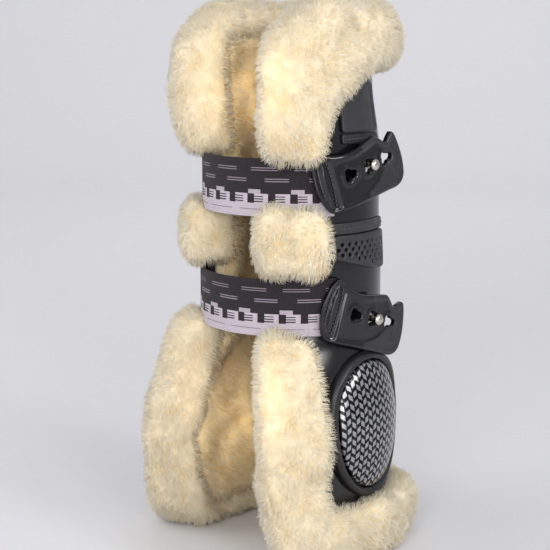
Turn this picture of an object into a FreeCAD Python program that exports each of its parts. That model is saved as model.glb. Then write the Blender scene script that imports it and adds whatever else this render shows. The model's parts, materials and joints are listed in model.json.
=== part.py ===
import FreeCAD, Part
import math
import os

import Sketcher
from FreeCAD import Placement, Rotation, Vector

# A sheepskin-lined tendon boot for a horse's leg, in millimetres, standing on its fleece rim.
# Z is up, the front opening faces -Y and the side that carries the closing studs is +X.
# Every layer is an offset of one lofted surface, the outside of the moulded shell. A cross
# section of that surface is two equal half circles, one behind and one in front, joined by
# straight sides. The layers are worked out about the leg's axis, and each finished piece is
# placed so that the origin is the middle of the boot's footprint.

doc = FreeCAD.newDocument("TendonBoot")
sheet = doc.addObject("Spreadsheet::Sheet", "Sizes")

# Levels of the lofted surface: name, height, radius, distance between the two circle centres.
# The surface is upright over each strap, between the levels just below and just above it.
STRAP_BAND = "Sizes.strap_width / 2 + Sizes.strap_margin"
LEVELS = [
    ("rim", "0", 54, 25),
    ("roll", "Sizes.roll_height", 56, 26),
    ("fetlock", "Sizes.dome_z", 56.5, 24),
    ("flare", "Sizes.flare_height", 54, 12),
    ("lower_strap_bottom", "Sizes.lower_strap_mid - (%s)" % STRAP_BAND, 50.5, 2),
    ("lower_strap_top", "Sizes.lower_strap_mid + (%s)" % STRAP_BAND, 50.5, 2),
    ("upper_strap_bottom", "Sizes.upper_strap_mid - (%s)" % STRAP_BAND, 49, 2),
    ("upper_strap_top", "Sizes.upper_strap_mid + (%s)" % STRAP_BAND, 49, 2),
    ("neck", "Sizes.neck_height", 44.5, 17),
    ("crown", "Sizes.overall_height", 43, 18),
]

SIZES = {
    # overall height, and the levels that no strap or dome sets
    "overall_height": 310.0,
    "roll_height": 30.0,
    "flare_height": 108.0,
    "neck_height": 262.0,
    # place of the leg's axis, behind the middle of the footprint
    "leg_axis_y": 2.4,
    # layers, as distances outwards from the outside of the shell
    "fleece_inside": -17.0,
    "liner_inside": -5.6,
    "shell_outside": 0.0,
    "shell_inside": -3.0,
    "layer_gap": 0.15,
    "panel_outside": 2.2,
    "trim_outside": 1.6,
    "spine_outside": 4.5,
    "roll_outside": 12.0,
    "strap_inside": 0.6,
    "strap_outside": 3.0,
    "shell_bottom": 16.0,
    "shell_top": 292.0,
    # half angles of the front opening, about the front circle's centre, and its apexes
    "open_upper": 47.0,
    "open_middle": 43.0,
    "open_knee": 44.0,
    "open_lower": 55.0,
    "apex_upper": 9.0,
    "apex_middle": 8.0,
    "apex_knee": 9.0,
    "apex_lower": 20.0,
    "roll_wrap": 12.0,
    # fleece rolls
    "roll_front": 65.0,
    "roll_front_low": 80.0,
    "lobe_gap_over_strap": 4.5,
    "lobe_gap_under_strap": 1.0,
    "lobe_gap_at_flare": 4.0,
    "upper_lobe_back": 32.0,
    "upper_lobe_waist": 23.0,
    "upper_lobe_waist_drop": 21.0,
    "upper_lobe_shoulder": 8.0,
    "top_roll_bottom": 276.0,
    "top_roll_slant": 10.0,
    "top_roll_front": 39.0,
    "middle_roll_back": 27.0,
    "lower_lobe_back": 37.0,
    "lower_lobe_slant": 0.75,
    "bottom_roll_top": 32.0,
    # straps
    "strap_width": 32.0,
    "upper_strap_mid": 212.0,
    "lower_strap_mid": 146.0,
    "strap_margin": 4.0,
    "strap_gap": 0.6,
    "anchor_back": 18.0,
    "anchor_angle": 48.0,
    "tuck_length": 17.0,
    # closing tabs
    "tab_thickness": 3.2,
    "tab_gap": 0.7,
    "tab_back": 40.0,
    "tab_tilt": 16.0,
    "tab_front_reach": 34.5,
    "tab_hinge_lead": 1.2,
    "tab_hole_pitch": 14.2,
    "upper_tab_y": 1.2,
    "upper_tab_rise": 10.0,
    "lower_tab_y": 4.4,
    "lower_tab_rise": -8.7,
    "keyhole_seat": 4.6,
    "keyhole_clearance": 0.6,
    "keyhole_entry": 2.8,
    "keyhole_entry_lobe": 2.7,
    # studs
    "stud_neck_radius": 1.9,
    "stud_head_radius": 3.3,
    "stud_head_height": 2.6,
    "stud_flange_radius": 6.0,
    "stud_flange_height": 1.0,
    "stud_clearance": 0.5,
    "backing_radius": 8.0,
    "backing_height": 1.2,
    # side panels, as heights and places along the side
    "badge_bottom": 240.5,
    "badge_top": 268.0,
    "badge_front": 12.0,
    "badge_back": 20.0,
    "badge_slant": 10.0,
    "badge_slant_drop": 8.0,
    "badge_trim_bottom": 234.5,
    "vent_gap": 1.0,
    "vent_shoulder": 172.0,
    "vent_corner": 16.0,
    "vent_top": 185.0,
    "vent_front": 18.0,
    "vent_back": 27.0,
    "vent_trim_top": 192.0,
    "panel_gap": 0.3,
    # spine guard
    "spine_half_width": 13.0,
    "spine_bottom": 40.0,
    "spine_tip_half_width": 5.0,
    # strike domes
    "dome_y": 4.0,
    "dome_z": 75.0,
    "dome_centre_x": 49.0,
    "dome_depth": 17.0,
    "dome_half_width": 29.0,
    "dome_half_height": 39.0,
    "rim_depth": 13.0,
    "rim_half_width": 38.0,
    "rim_half_height": 45.5,
    # larger than the boot in every direction, for cutting blocks
    "reach": 160.0,
    # how far a cutting block passes the face it cuts
    "overcut": 10.0,
    "tab_cut_start": 20.0,
}

# Corners of the tab's edge in its own face: name, distance along the tab, distance up it.
# The first and the last three are measured from the tab's front edge.
TAB_EDGE = [
    ("front_top", 7, 18),
    ("dip", -11, 12),
    ("hump", 9, 14.5),
    ("saddle", 17, 8.5),
    ("peak", 23.5, 13),
    ("peak_back", 25.5, 12),
    ("tip", 29, -4),
    ("tip_low", 28, -13),
    ("heel", 22, -18.5),
    ("belly", -2, -18),
    ("front_low", 8, -17.5),
    ("bow_low", 1, -5),
    ("bow_high", 1, 7),
]
TAB_FRONT_CORNERS = ("front_top", "front_low", "bow_low", "bow_high")


def fill_sheet():
    """Write every driving size into the spreadsheet, one named cell each."""
    values = dict(SIZES)
    for name, _, radius, length in LEVELS:
        values["radius_" + name] = radius
        values["length_" + name] = length
    for corner, along, up in TAB_EDGE:
        values["tab_%s_along" % corner] = along
        values["tab_%s_up" % corner] = up
    for row, (alias, value) in enumerate(values.items(), start=1):
        sheet.set("A%d" % row, alias)
        sheet.set("B%d" % row, str(value))
        sheet.setAlias("B%d" % row, alias)
    doc.recompute()


def size(name):
    """A driving size as a number."""
    return float(getattr(sheet, name))


def cell(name):
    """The expression that reads one cell."""
    return "Sizes." + name


def bind(thing, **expressions):
    """Bind properties to expressions. A double underscore stands for a dot."""
    for path, expression in expressions.items():
        thing.setExpression(path.replace("__", "."), expression)
    return thing


# Heights of the edges that follow a strap.
OVER_STRAP = "(Sizes.%s_strap_mid + Sizes.strap_width / 2 + Sizes.lobe_gap_over_strap)"
UNDER_STRAP = "(Sizes.%s_strap_mid - Sizes.strap_width / 2 - Sizes.lobe_gap_under_strap)"
LOWER_LOBE_TOP = "(Sizes.lower_strap_mid - Sizes.strap_width / 2 - Sizes.lobe_gap_at_flare)"
VENT_BOTTOM = "(Sizes.lower_strap_mid + Sizes.strap_width / 2 + Sizes.vent_gap)"


# ---------------------------------------------------------------- lofted layers

def layer_section(name, offset, level):
    """One level's cross section, at an offset, as a sketch of two arcs and two lines."""
    label, height, radius, length = level
    radius = radius + offset[1]
    sketch = doc.addObject("Sketcher::SketchObject", "%s_%s" % (name, label))
    back = Part.ArcOfCircle(Part.Circle(Vector(0, 0, 0), Vector(0, 0, 1), radius), 0, math.pi)
    front_circle = Part.Circle(Vector(0, -length, 0), Vector(0, 0, 1), radius)
    front = Part.ArcOfCircle(front_circle, math.pi, 2 * math.pi)
    left = Part.LineSegment(Vector(-radius, 0, 0), Vector(-radius, -length, 0))
    right = Part.LineSegment(Vector(radius, -length, 0), Vector(radius, 0, 0))
    sketch.addGeometry([back, left, front, right], False)
    for first, second in ((0, 1), (1, 2), (2, 3), (3, 0)):
        sketch.addConstraint(Sketcher.Constraint("Tangent", first, 2, second, 1))
    sketch.addConstraint(Sketcher.Constraint("Coincident", 0, 3, -1, 1))
    sketch.addConstraint(Sketcher.Constraint("PointOnObject", 2, 3, -2))
    sketch.addConstraint(Sketcher.Constraint("Vertical", 1))
    at = sketch.addConstraint(Sketcher.Constraint("Radius", 0, radius))
    sketch.setExpression("Constraints[%d]" % at, "Sizes.radius_%s + %s" % (label, offset[0]))
    at = sketch.addConstraint(Sketcher.Constraint("DistanceY", 2, 3, -1, 1, length))
    sketch.setExpression("Constraints[%d]" % at, "Sizes.length_" + label)
    sketch.setExpression("Placement.Base.z", height)
    return sketch


def layer(name, *terms):
    """A closed solid out to an offset from the shell's outside, the sum of signed cells."""
    expression = " + ".join("(%s)" % (("-" if term[0] == "-" else "") + cell(term.lstrip("-")))
                            for term in terms)
    value = sum(size(term.lstrip("-")) * (-1 if term[0] == "-" else 1) for term in terms)
    loft = doc.addObject("Part::Loft", "Layer_" + name)
    loft.Sections = [layer_section(name, (expression, value), level) for level in LEVELS]
    loft.Solid = True
    loft.Ruled = True
    return loft


# ---------------------------------------------------------------- cutting blocks

def outline(name, plane, points, start, length):
    """A polygon whose corners are pairs of expressions, extruded square to its plane."""
    turns = {
        "XY": Rotation(),
        "XZ": Rotation(Vector(1, 0, 0), 90),
        "YZ": Rotation(Vector(1, 1, 1), 120),
    }
    normal = {"XY": "z", "XZ": "y", "YZ": "x"}[plane]
    sketch = doc.addObject("Sketcher::SketchObject", name + "_outline")
    sketch.Placement = Placement(Vector(), turns[plane])
    sketch.setExpression("Placement.Base." + normal, start)
    corners = []
    for across, up in points:
        corners.append(Vector(number(across), number(up), 0))
    count = len(corners)
    for i in range(count):
        sketch.addGeometry(Part.LineSegment(corners[i], corners[(i + 1) % count]), False)
    for i in range(count):
        sketch.addConstraint(Sketcher.Constraint("Coincident", i, 2, (i + 1) % count, 1))
    for i, (across, up) in enumerate(points):
        for kind, expression in (("DistanceX", across), ("DistanceY", up)):
            value = number(expression)
            at = sketch.addConstraint(Sketcher.Constraint(kind, -1, 1, i, 1, value))
            sketch.setExpression("Constraints[%d]" % at, expression)
    solid = doc.addObject("Part::Extrusion", name)
    solid.Base = sketch
    solid.DirMode = "Normal"
    solid.Solid = True
    solid.setExpression("LengthFwd", length)
    return solid


def number(expression):
    """The value of an expression over the sheet's cells."""
    return float(sheet.evalExpression(expression.replace("Sizes.", "")))


def block(name, low, high):
    """A box between two corners given as expressions."""
    box = doc.addObject("Part::Box", name)
    for axis, extent, first, last in zip("xyz", ("Length", "Width", "Height"), low, high):
        box.setExpression("Placement.Base." + axis, first)
        box.setExpression(extent, "(%s) - (%s)" % (last, first))
    return box


def cut(name, base, tool):
    feature = doc.addObject("Part::Cut", name)
    feature.Base = base
    feature.Tool = tool
    return feature


def common(name, *shapes):
    feature = doc.addObject("Part::MultiCommon", name)
    feature.Shapes = list(shapes)
    return feature


def fuse(name, *shapes):
    feature = doc.addObject("Part::MultiFuse", name)
    feature.Shapes = list(shapes)
    return feature


def wedge(name, angle, apex, low, high):
    """A three-cornered block that opens forwards from an apex on the boot's middle plane."""
    far = "Sizes.reach * tan(%s)" % angle
    points = [
        ("0", "-" + apex),
        ("-%s" % far, "-%s - Sizes.reach" % apex),
        (far, "-%s - Sizes.reach" % apex),
    ]
    return outline(name, "XY", points, low, "(%s) - (%s)" % (high, low))


def opening(name, narrowing):
    """The front opening, wide at the top, narrow in the middle and flared at the fetlock."""
    strap_low = "(Sizes.lower_strap_mid)"
    strap_up = "(Sizes.upper_strap_mid)"
    knee = "(Sizes.flare_height)"
    bands = [
        ("upper", strap_up, "(Sizes.overall_height + Sizes.overcut)"),
        ("middle", strap_low, strap_up),
        ("knee", knee, strap_low),
        ("lower", "-Sizes.overcut", knee),
    ]
    wedges = []
    for label, low, high in bands:
        angle = "(Sizes.open_%s - %s) * 1deg" % (label, narrowing)
        wedges.append(wedge("%s_%s" % (name, label), angle, "Sizes.apex_" + label, low, high))
    return fuse(name, *wedges)


# ---------------------------------------------------------------- finished pieces

PIECES = {}


def finish(feature, node):
    """Name a finished piece and place it so that the footprint's middle is the origin."""
    feature.Label = node
    feature.setExpression("Placement.Base.y", cell("leg_axis_y"))
    PIECES[node] = feature


def sides(node):
    """The node's name on each side, with the sign of its X."""
    return ((node + "_right", 1), (node + "_left", -1))


def side_block(name, sign, points):
    """A side-view outline extruded from the middle plane out to one side."""
    start = "0" if sign > 0 else "-Sizes.reach"
    return outline(name, "YZ", points, start, "Sizes.reach")


def make_core(layers, front_opening):
    """The shell, its foam liner and the sheepskin lining, three C-shaped layers."""
    gap = "Sizes.layer_gap"
    slab = block("ShellSlab", ("-Sizes.reach", "-Sizes.reach", "Sizes.shell_bottom + " + gap),
                 ("Sizes.reach", "Sizes.reach", "Sizes.shell_top - " + gap))
    stack = (
        ("outer_shell", "shell", "shell_in"),
        ("foam_liner", "liner", "liner_in"),
        ("fleece_lining", "fleece", "fleece_in"),
    )
    made = {}
    for node, outside, inside in stack:
        skin = cut(node + "_skin", layers[outside], layers[inside])
        trimmed = common(node + "_slab", skin, slab)
        made[node] = cut(node + "_open", trimmed, front_opening)
    finish(made["outer_shell"], "outer_shell")
    finish(made["fleece_lining"], "fleece_lining")
    return made["foam_liner"]


def make_rolls(layers, front_opening, roll_opening):
    """The sheepskin rolled out over the shell's edges, in lobes clear of the two straps."""
    full = cut("roll_skin", layers["roll"], layers["fleece_in"])
    slab = block("CoreSlab", ("-Sizes.reach", "-Sizes.reach", "Sizes.shell_bottom"),
                 ("Sizes.reach", "Sizes.reach", "Sizes.shell_top"))
    core_slab = common("core_slab", layers["over_shell"], slab)
    core = cut("core", core_slab, front_opening)
    ring = cut("roll_ring", cut("roll_open", full, roll_opening), core)
    top = "Sizes.overall_height"
    over, under = OVER_STRAP % "upper", UNDER_STRAP % "upper"
    far = "Sizes.reach"
    regions = {
        "upper_fleece_roll": [
            ("-Sizes.roll_front", over),
            ("-Sizes.upper_lobe_back", over),
            ("-Sizes.upper_lobe_waist", "Sizes.top_roll_bottom - Sizes.upper_lobe_waist_drop"),
            ("Sizes.upper_lobe_shoulder", "Sizes.top_roll_bottom"),
            (far, "Sizes.top_roll_bottom"),
            (far, top),
            ("-Sizes.top_roll_front", top),
            ("-Sizes.roll_front", "Sizes.top_roll_bottom - Sizes.top_roll_slant"),
        ],
        "lower_fleece_roll": [
            ("-Sizes.roll_front_low", "0"),
            (far, "0"),
            (far, "Sizes.bottom_roll_top"),
            ("-Sizes.lower_lobe_back", "Sizes.bottom_roll_top"),
            ("-Sizes.lower_lobe_back", LOWER_LOBE_TOP),
            ("-Sizes.roll_front", LOWER_LOBE_TOP),
            ("-Sizes.roll_front_low", LOWER_LOBE_TOP + " * Sizes.lower_lobe_slant"),
        ],
    }
    for node, points in regions.items():
        region = outline(node + "_region", "YZ", points, "-Sizes.reach", "2 * Sizes.reach")
        finish(common(node, ring, region), node)
    for node, sign in sides("middle_fleece_roll"):
        points = [
            ("-Sizes.roll_front", OVER_STRAP % "lower"),
            ("-Sizes.middle_roll_back", OVER_STRAP % "lower"),
            ("-Sizes.middle_roll_back", under),
            ("-Sizes.roll_front", under),
        ]
        finish(common(node, ring, side_block(node + "_region", sign, points)), node)


def make_panels(layers):
    """The moulded panels on each side: badge panel, vent panel and their stitched trims."""
    panel = cut("panel_skin", layers["panel"], layers["over_shell"])
    trim = cut("trim_skin", layers["trim"], layers["over_shell"])
    badge = [
        ("-Sizes.badge_front", "Sizes.badge_bottom"),
        ("Sizes.badge_back", "Sizes.badge_bottom"),
        ("Sizes.badge_back", "Sizes.badge_top"),
        ("Sizes.badge_slant - Sizes.badge_front", "Sizes.badge_top"),
        ("-Sizes.badge_front", "Sizes.badge_top - Sizes.badge_slant_drop"),
    ]
    badge_trim = [
        ("-Sizes.badge_front", "Sizes.badge_trim_bottom"),
        ("Sizes.badge_back", "Sizes.badge_trim_bottom"),
        ("Sizes.badge_back", "Sizes.badge_bottom - Sizes.panel_gap"),
        ("-Sizes.badge_front", "Sizes.badge_bottom - Sizes.panel_gap"),
    ]
    vent = [
        ("-Sizes.vent_front", "Sizes.vent_shoulder"),
        ("Sizes.vent_corner", VENT_BOTTOM),
        ("Sizes.vent_back", VENT_BOTTOM),
        ("Sizes.vent_back", "Sizes.vent_top"),
        ("-Sizes.vent_front", "Sizes.vent_top"),
    ]
    vent_trim = [
        ("-Sizes.vent_front", "Sizes.vent_top + Sizes.panel_gap"),
        ("Sizes.vent_back", "Sizes.vent_top + Sizes.panel_gap"),
        ("Sizes.vent_back", "Sizes.vent_trim_top"),
        ("-Sizes.vent_front", "Sizes.vent_trim_top"),
    ]
    for base, skin, points in (
        ("badge_panel", panel, badge),
        ("badge_trim", trim, badge_trim),
        ("vent_panel", panel, vent),
        ("vent_trim", trim, vent_trim),
    ):
        for node, sign in sides(base):
            finish(common(node, skin, side_block(node + "_region", sign, points)), node)


def make_spine(layers):
    """The raised guard up the back, tapering to its tip."""
    skin = cut("spine_skin", layers["spine"], layers["over_shell"])
    top = "Sizes.top_roll_bottom - Sizes.strap_gap"
    points = [
        ("-Sizes.spine_half_width", "Sizes.spine_bottom"),
        ("Sizes.spine_half_width", "Sizes.spine_bottom"),
        ("Sizes.spine_half_width", "Sizes.badge_bottom"),
        ("Sizes.spine_tip_half_width", top),
        ("-Sizes.spine_tip_half_width", top),
        ("-Sizes.spine_half_width", "Sizes.badge_bottom"),
    ]
    region = outline("spine_region", "XZ", points, "0", "Sizes.reach")
    region.Reversed = True
    finish(common("spine_guard", skin, region), "spine_guard")


def ellipsoid(name, sign, depth, half_width, half_height):
    """An ellipsoid on the fetlock's side, its three half lengths taken from cells."""
    ball = doc.addObject("Part::Ellipsoid", name)
    ball.Angle1 = -90
    ball.Angle2 = 90
    ball.Angle3 = 360
    return bind(
        ball,
        Radius1=half_height,
        Radius2=depth,
        Radius3=half_width,
        Placement__Base__x="%d * Sizes.dome_centre_x" % sign,
        Placement__Base__y="Sizes.dome_y",
        Placement__Base__z="Sizes.dome_z",
    )


def make_domes(layers):
    """The strike dome over each side of the fetlock, in a soft rubber rim."""
    gap = "Sizes.layer_gap"
    depth, width, height = "Sizes.dome_depth", "Sizes.dome_half_width", "Sizes.dome_half_height"
    for (dome, sign), (rim, _) in zip(sides("strike_dome"), sides("dome_rim")):
        ball = ellipsoid(dome + "_ball", sign, depth, width, height)
        finish(cut(dome, ball, layers["over_shell"]), dome)
        hole = ellipsoid(rim + "_hole", sign, depth + " + " + gap, width + " + " + gap,
                         height + " + " + gap)
        ring = ellipsoid(rim + "_ball", sign, "Sizes.rim_depth", "Sizes.rim_half_width",
                         "Sizes.rim_half_height")
        above = block(rim + "_above", ("-Sizes.reach", "-Sizes.reach",
                                       "Sizes.bottom_roll_top + " + gap),
                      ("Sizes.reach", "Sizes.reach", "Sizes.reach"))
        seated = cut(rim + "_seated", ring, layers["over_shell"])
        finish(common(rim, cut(rim + "_open", seated, hole), above), rim)


# ---------------------------------------------------------------- straps, tabs and studs

STRAPS = {
    # name: radius and length cells of its level, sign of the tab's tilt
    "upper": ("upper_strap_bottom", 1),
    "lower": ("lower_strap_bottom", -1),
}


def strap_block(name, strap, low_xy, high_xy):
    """A box over the strap's width, between two corners in plan."""
    mid = "Sizes.%s_strap_mid" % strap
    low = (low_xy[0], low_xy[1], mid + " - Sizes.strap_width / 2")
    high = (high_xy[0], high_xy[1], mid + " + Sizes.strap_width / 2")
    return block(name, low, high)


def hinge_lines(strap):
    """Y of the line where the strap leaves the shell, and of the tab's front edge."""
    level, _ = STRAPS[strap]
    radius = "(Sizes.radius_%s + Sizes.strap_outside)" % level
    length = "Sizes.length_" + level
    leave = "(-%s - %s * cos(Sizes.anchor_angle * 1deg))" % (length, radius)
    reach = "Sizes.tab_front_reach + Sizes.tab_hinge_lead - Sizes.%s_tab_y" % strap
    swing = "(%s - %s) / %s * 1rad" % (reach, length, radius)
    front = "(-%s - %s * sin(%s))" % (length, radius, swing)
    return leave, front


def make_strap(strap, skin):
    """One elastic strap in three stretches: sewn end, free band, and end inside the tab."""
    far = "Sizes.reach"
    gap = "Sizes.strap_gap / 2"
    leave, front = hinge_lines(strap)
    band = strap_block(strap + "_band_block", strap, ("-" + far, "-" + far), (far, front))
    behind = strap_block(strap + "_behind", strap, ("-" + far, leave + " - " + gap), ("0", far))
    past_tab = strap_block(strap + "_past_tab", strap, ("0", front + " - " + gap), (far, far))
    free = common(strap + "_band_all", skin, band)
    free = cut(strap + "_band_left", free, behind)
    finish(cut(strap + "_strap_band", free, past_tab), strap + "_strap_band")
    sewn = strap_block(strap + "_sewn_block", strap, ("-" + far, leave + " + " + gap),
                       ("0", "Sizes.anchor_back"))
    finish(common(strap + "_strap_anchor", skin, sewn), strap + "_strap_anchor")
    tuck = strap_block(strap + "_tuck_block", strap, ("0", front + " + " + gap),
                       (far, front + " + Sizes.tuck_length"))
    finish(common(strap + "_strap_end", skin, tuck), strap + "_strap_end")


def tab_plan(strap):
    """The tab seen from above: it hugs the front curve, then runs straight past the stud."""
    level, _ = STRAPS[strap]
    inner = size("radius_" + level) + size("strap_outside") + size("tab_gap")
    centre = -size("length_" + level)
    back = size("tab_back")
    body = doc.addObject("PartDesign::Body", strap + "_tab_body")
    plane = next(f for f in body.Origin.OriginFeatures if f.Role == "XY_Plane")
    sketch = body.newObject("Sketcher::SketchObject", strap + "_tab_plan")
    sketch.AttachmentSupport = [(plane, "")]
    sketch.MapMode = "FlatFace"
    outer = inner + size("tab_thickness")
    middle = Vector(0, centre, 0)
    arcs = [Part.ArcOfCircle(Part.Circle(middle, Vector(0, 0, 1), radius), -math.pi / 2, 0)
            for radius in (inner, outer)]
    sketch.addGeometry(arcs, False)
    sketch.addGeometry([
        Part.LineSegment(Vector(inner, centre, 0), Vector(inner, back, 0)),
        Part.LineSegment(Vector(inner, back, 0), Vector(outer, back, 0)),
        Part.LineSegment(Vector(outer, back, 0), Vector(outer, centre, 0)),
        Part.LineSegment(Vector(0, centre - inner, 0), Vector(0, centre - outer, 0)),
    ], False)
    for kind, *where in (
        ("Tangent", 0, 2, 2, 1),
        ("Coincident", 2, 2, 3, 1),
        ("Coincident", 3, 2, 4, 1),
        ("Tangent", 4, 2, 1, 2),
        ("Coincident", 5, 1, 0, 1),
        ("Coincident", 5, 2, 1, 1),
        ("Vertical", 2),
        ("Vertical", 5),
        ("Horizontal", 3),
        ("Coincident", 0, 3, 1, 3),
        ("PointOnObject", 0, 3, -2),
        ("PointOnObject", 5, 1, -2),
    ):
        sketch.addConstraint(Sketcher.Constraint(kind, *where))
    at = sketch.addConstraint(Sketcher.Constraint("Radius", 0, inner))
    reach_in = "Sizes.radius_%s + Sizes.strap_outside + Sizes.tab_gap" % level
    sketch.setExpression("Constraints[%d]" % at, reach_in)
    at = sketch.addConstraint(Sketcher.Constraint("Radius", 1, outer))
    sketch.setExpression("Constraints[%d]" % at, reach_in + " + Sizes.tab_thickness")
    at = sketch.addConstraint(Sketcher.Constraint("DistanceY", 0, 3, -1, 1, -centre))
    sketch.setExpression("Constraints[%d]" % at, "Sizes.length_" + level)
    at = sketch.addConstraint(Sketcher.Constraint("DistanceY", -1, 1, 3, 1, back))
    sketch.setExpression("Constraints[%d]" % at, "Sizes.tab_back")
    pad = body.newObject("PartDesign::Pad", strap + "_tab_pad")
    pad.Profile = sketch
    pad.setExpression("Length", "Sizes.overall_height")
    body.Tip = pad
    return body


def rod(name, radius, along, up, strap, start, length):
    """A round rod square to the tab, at a place given along and up the tab's own face."""
    _, tilt = STRAPS[strap]
    angle = "(%d * Sizes.tab_tilt * 1deg)" % tilt
    tool = doc.addObject("Part::Cylinder", name)
    tool.Placement = Placement(Vector(), Rotation(Vector(0, 1, 0), 90))
    return bind(
        tool,
        Radius=radius,
        Height=length,
        Placement__Base__x=start,
        Placement__Base__y="Sizes.%s_tab_y + (%s) * cos(%s) - (%s) * sin(%s)"
        % (strap, along, angle, up, angle),
        Placement__Base__z="Sizes.%s_strap_mid + Sizes.%s_tab_rise + (%s) * sin(%s) + (%s) * cos(%s)"
        % (strap, strap, along, angle, up, angle),
    )


def tab_outline(strap):
    """The tab's edge in its own face: a bowed front, a humped top and a pointed upper corner."""
    _, tilt = STRAPS[strap]
    points = []
    for corner, _, _ in TAB_EDGE:
        along = "Sizes.tab_%s_along" % corner
        if corner in TAB_FRONT_CORNERS:
            along += " - Sizes.tab_front_reach"
        points.append((along, "Sizes.tab_%s_up" % corner))
    solid = outline(strap + "_tab_edge", "YZ", points, "Sizes.tab_cut_start", "Sizes.reach")
    sketch = solid.Base
    turn = Rotation(Vector(1, 0, 0), tilt * size("tab_tilt")) * Rotation(Vector(1, 1, 1), 120)
    sketch.Placement = Placement(Vector(size("tab_cut_start"), 0, 0), turn)
    sketch.setExpression("Placement.Base.y", "Sizes.%s_tab_y" % strap)
    sketch.setExpression("Placement.Base.z",
                         "Sizes.%s_strap_mid + Sizes.%s_tab_rise" % (strap, strap))
    return solid


def make_tab(strap):
    """The moulded tab with its three trefoil keyholes along the middle."""
    body = tab_plan(strap)
    blank = common(strap + "_tab_blank", body, tab_outline(strap))
    seat = "Sizes.stud_neck_radius + Sizes.keyhole_clearance"
    holes = []
    for place in (-1, 0, 1):
        middle = "%d * Sizes.tab_hole_pitch" % place
        lobes = (
            ("seat", middle + " + Sizes.keyhole_seat", "0", seat),
            ("over", middle, "Sizes.keyhole_entry / 2", "Sizes.keyhole_entry_lobe"),
            ("under", middle, "-Sizes.keyhole_entry / 2", "Sizes.keyhole_entry_lobe"),
            ("bridge", middle + " + Sizes.keyhole_seat / 2", "0", seat),
        )
        for label, along, up, radius in lobes:
            name = "%s_hole_%d_%s" % (strap, place + 1, label)
            holes.append(rod(name, radius, along, up, strap, "Sizes.tab_cut_start", "Sizes.reach"))
    finish(cut(strap + "_tab", blank, fuse(strap + "_keyholes", *holes)), strap + "_tab")


def make_stud(strap, layers, foam):
    """The stud that holds the tab: flange on the shell, neck in the keyhole, domed head.

    A backing disc inside the shell carries its rivet, let into the foam."""
    level, _ = STRAPS[strap]
    along = "Sizes.keyhole_seat"
    surface = "(Sizes.radius_%s)" % level
    tab_out = "(%s + Sizes.strap_outside + Sizes.tab_gap + Sizes.tab_thickness)" % surface
    flange = rod(strap + "_stud_flange", "Sizes.stud_flange_radius", along, "0", strap,
                 surface + " - Sizes.stud_flange_height",
                 "2 * Sizes.stud_flange_height")
    neck = rod(strap + "_stud_neck", "Sizes.stud_neck_radius", along, "0", strap,
               surface + " - Sizes.stud_flange_height",
               tab_out + " + Sizes.stud_clearance + Sizes.stud_head_height - " + surface)
    head = rod(strap + "_stud_head", "Sizes.stud_head_radius", along, "0", strap,
               tab_out + " + Sizes.stud_clearance", "Sizes.stud_head_height")
    whole = fuse(strap + "_stud_whole", flange, neck, head)
    finish(cut(strap + "_stud", whole, layers["over_shell"]), strap + "_stud")
    inside = surface + " + Sizes.shell_inside - Sizes.layer_gap"
    backing = rod(strap + "_backing_rod", "Sizes.backing_radius", along, "0", strap,
                  inside + " - Sizes.overcut", "Sizes.overcut")
    skin = cut(strap + "_backing_skin", layers["liner"], layers["backing_in"])
    finish(common(strap + "_stud_backing", backing, skin), strap + "_stud_backing")
    pocket = rod(strap + "_pocket_rod", "Sizes.backing_radius + Sizes.layer_gap", along, "0",
                 strap, inside + " - Sizes.overcut", "Sizes.overcut + Sizes.backing_height")
    pocket_skin = cut(strap + "_pocket_skin", layers["liner"], layers["pocket_in"])
    return cut(strap + "_foam_pocket", foam, common(strap + "_pocket", pocket, pocket_skin))


def build():
    fill_sheet()
    layers = {
        "shell": layer("shell", "shell_outside"),
        "shell_in": layer("shell_in", "shell_inside"),
        "liner": layer("liner", "shell_inside", "-layer_gap"),
        "liner_in": layer("liner_in", "liner_inside"),
        "backing_in": layer("backing_in", "shell_inside", "-layer_gap", "-backing_height"),
        "pocket_in": layer("pocket_in", "shell_inside", "-layer_gap", "-backing_height",
                           "-layer_gap"),
        "fleece": layer("fleece", "liner_inside", "-layer_gap"),
        "fleece_in": layer("fleece_in", "fleece_inside"),
        "over_shell": layer("over_shell", "layer_gap"),
        "panel": layer("panel", "panel_outside"),
        "trim": layer("trim", "trim_outside"),
        "spine": layer("spine", "spine_outside"),
        "roll": layer("roll", "roll_outside"),
        "strap_in": layer("strap_in", "strap_inside"),
        "strap_out": layer("strap_out", "strap_outside"),
    }
    front_opening = opening("FrontOpening", "0")
    roll_opening = opening("RollOpening", "Sizes.roll_wrap")
    foam = make_core(layers, front_opening)
    make_rolls(layers, front_opening, roll_opening)
    make_panels(layers)
    make_spine(layers)
    make_domes(layers)
    strap_skin = cut("strap_skin", layers["strap_out"], layers["strap_in"])
    for strap in STRAPS:
        make_strap(strap, strap_skin)
        make_tab(strap)
        foam = make_stud(strap, layers, foam)
    finish(foam, "foam_liner")


def write_steps():
    """Check every object and every piece, then write one STEP file for each piece."""
    doc.recompute()
    broken = [o.Name for o in doc.Objects if "Invalid" in o.State or "Error" in o.State]
    if broken:
        raise SystemExit("failed objects: " + ", ".join(broken))
    for node, feature in PIECES.items():
        shape = feature.Shape
        if shape.isNull() or not shape.isValid() or shape.Volume <= 0:
            raise SystemExit("bad shape: " + node)
    os.makedirs("parts", exist_ok=True)
    for node, feature in PIECES.items():
        feature.Shape.exportStep("parts/%s.step" % node)
        box = feature.Shape.BoundBox
        print("%-26s solids %d  volume %9.1f  x %.1f %.1f  y %.1f %.1f  z %.1f %.1f" % (
            node, len(feature.Shape.Solids), feature.Shape.Volume,
            box.XMin, box.XMax, box.YMin, box.YMax, box.ZMin, box.ZMax))


build()
write_steps()
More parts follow.
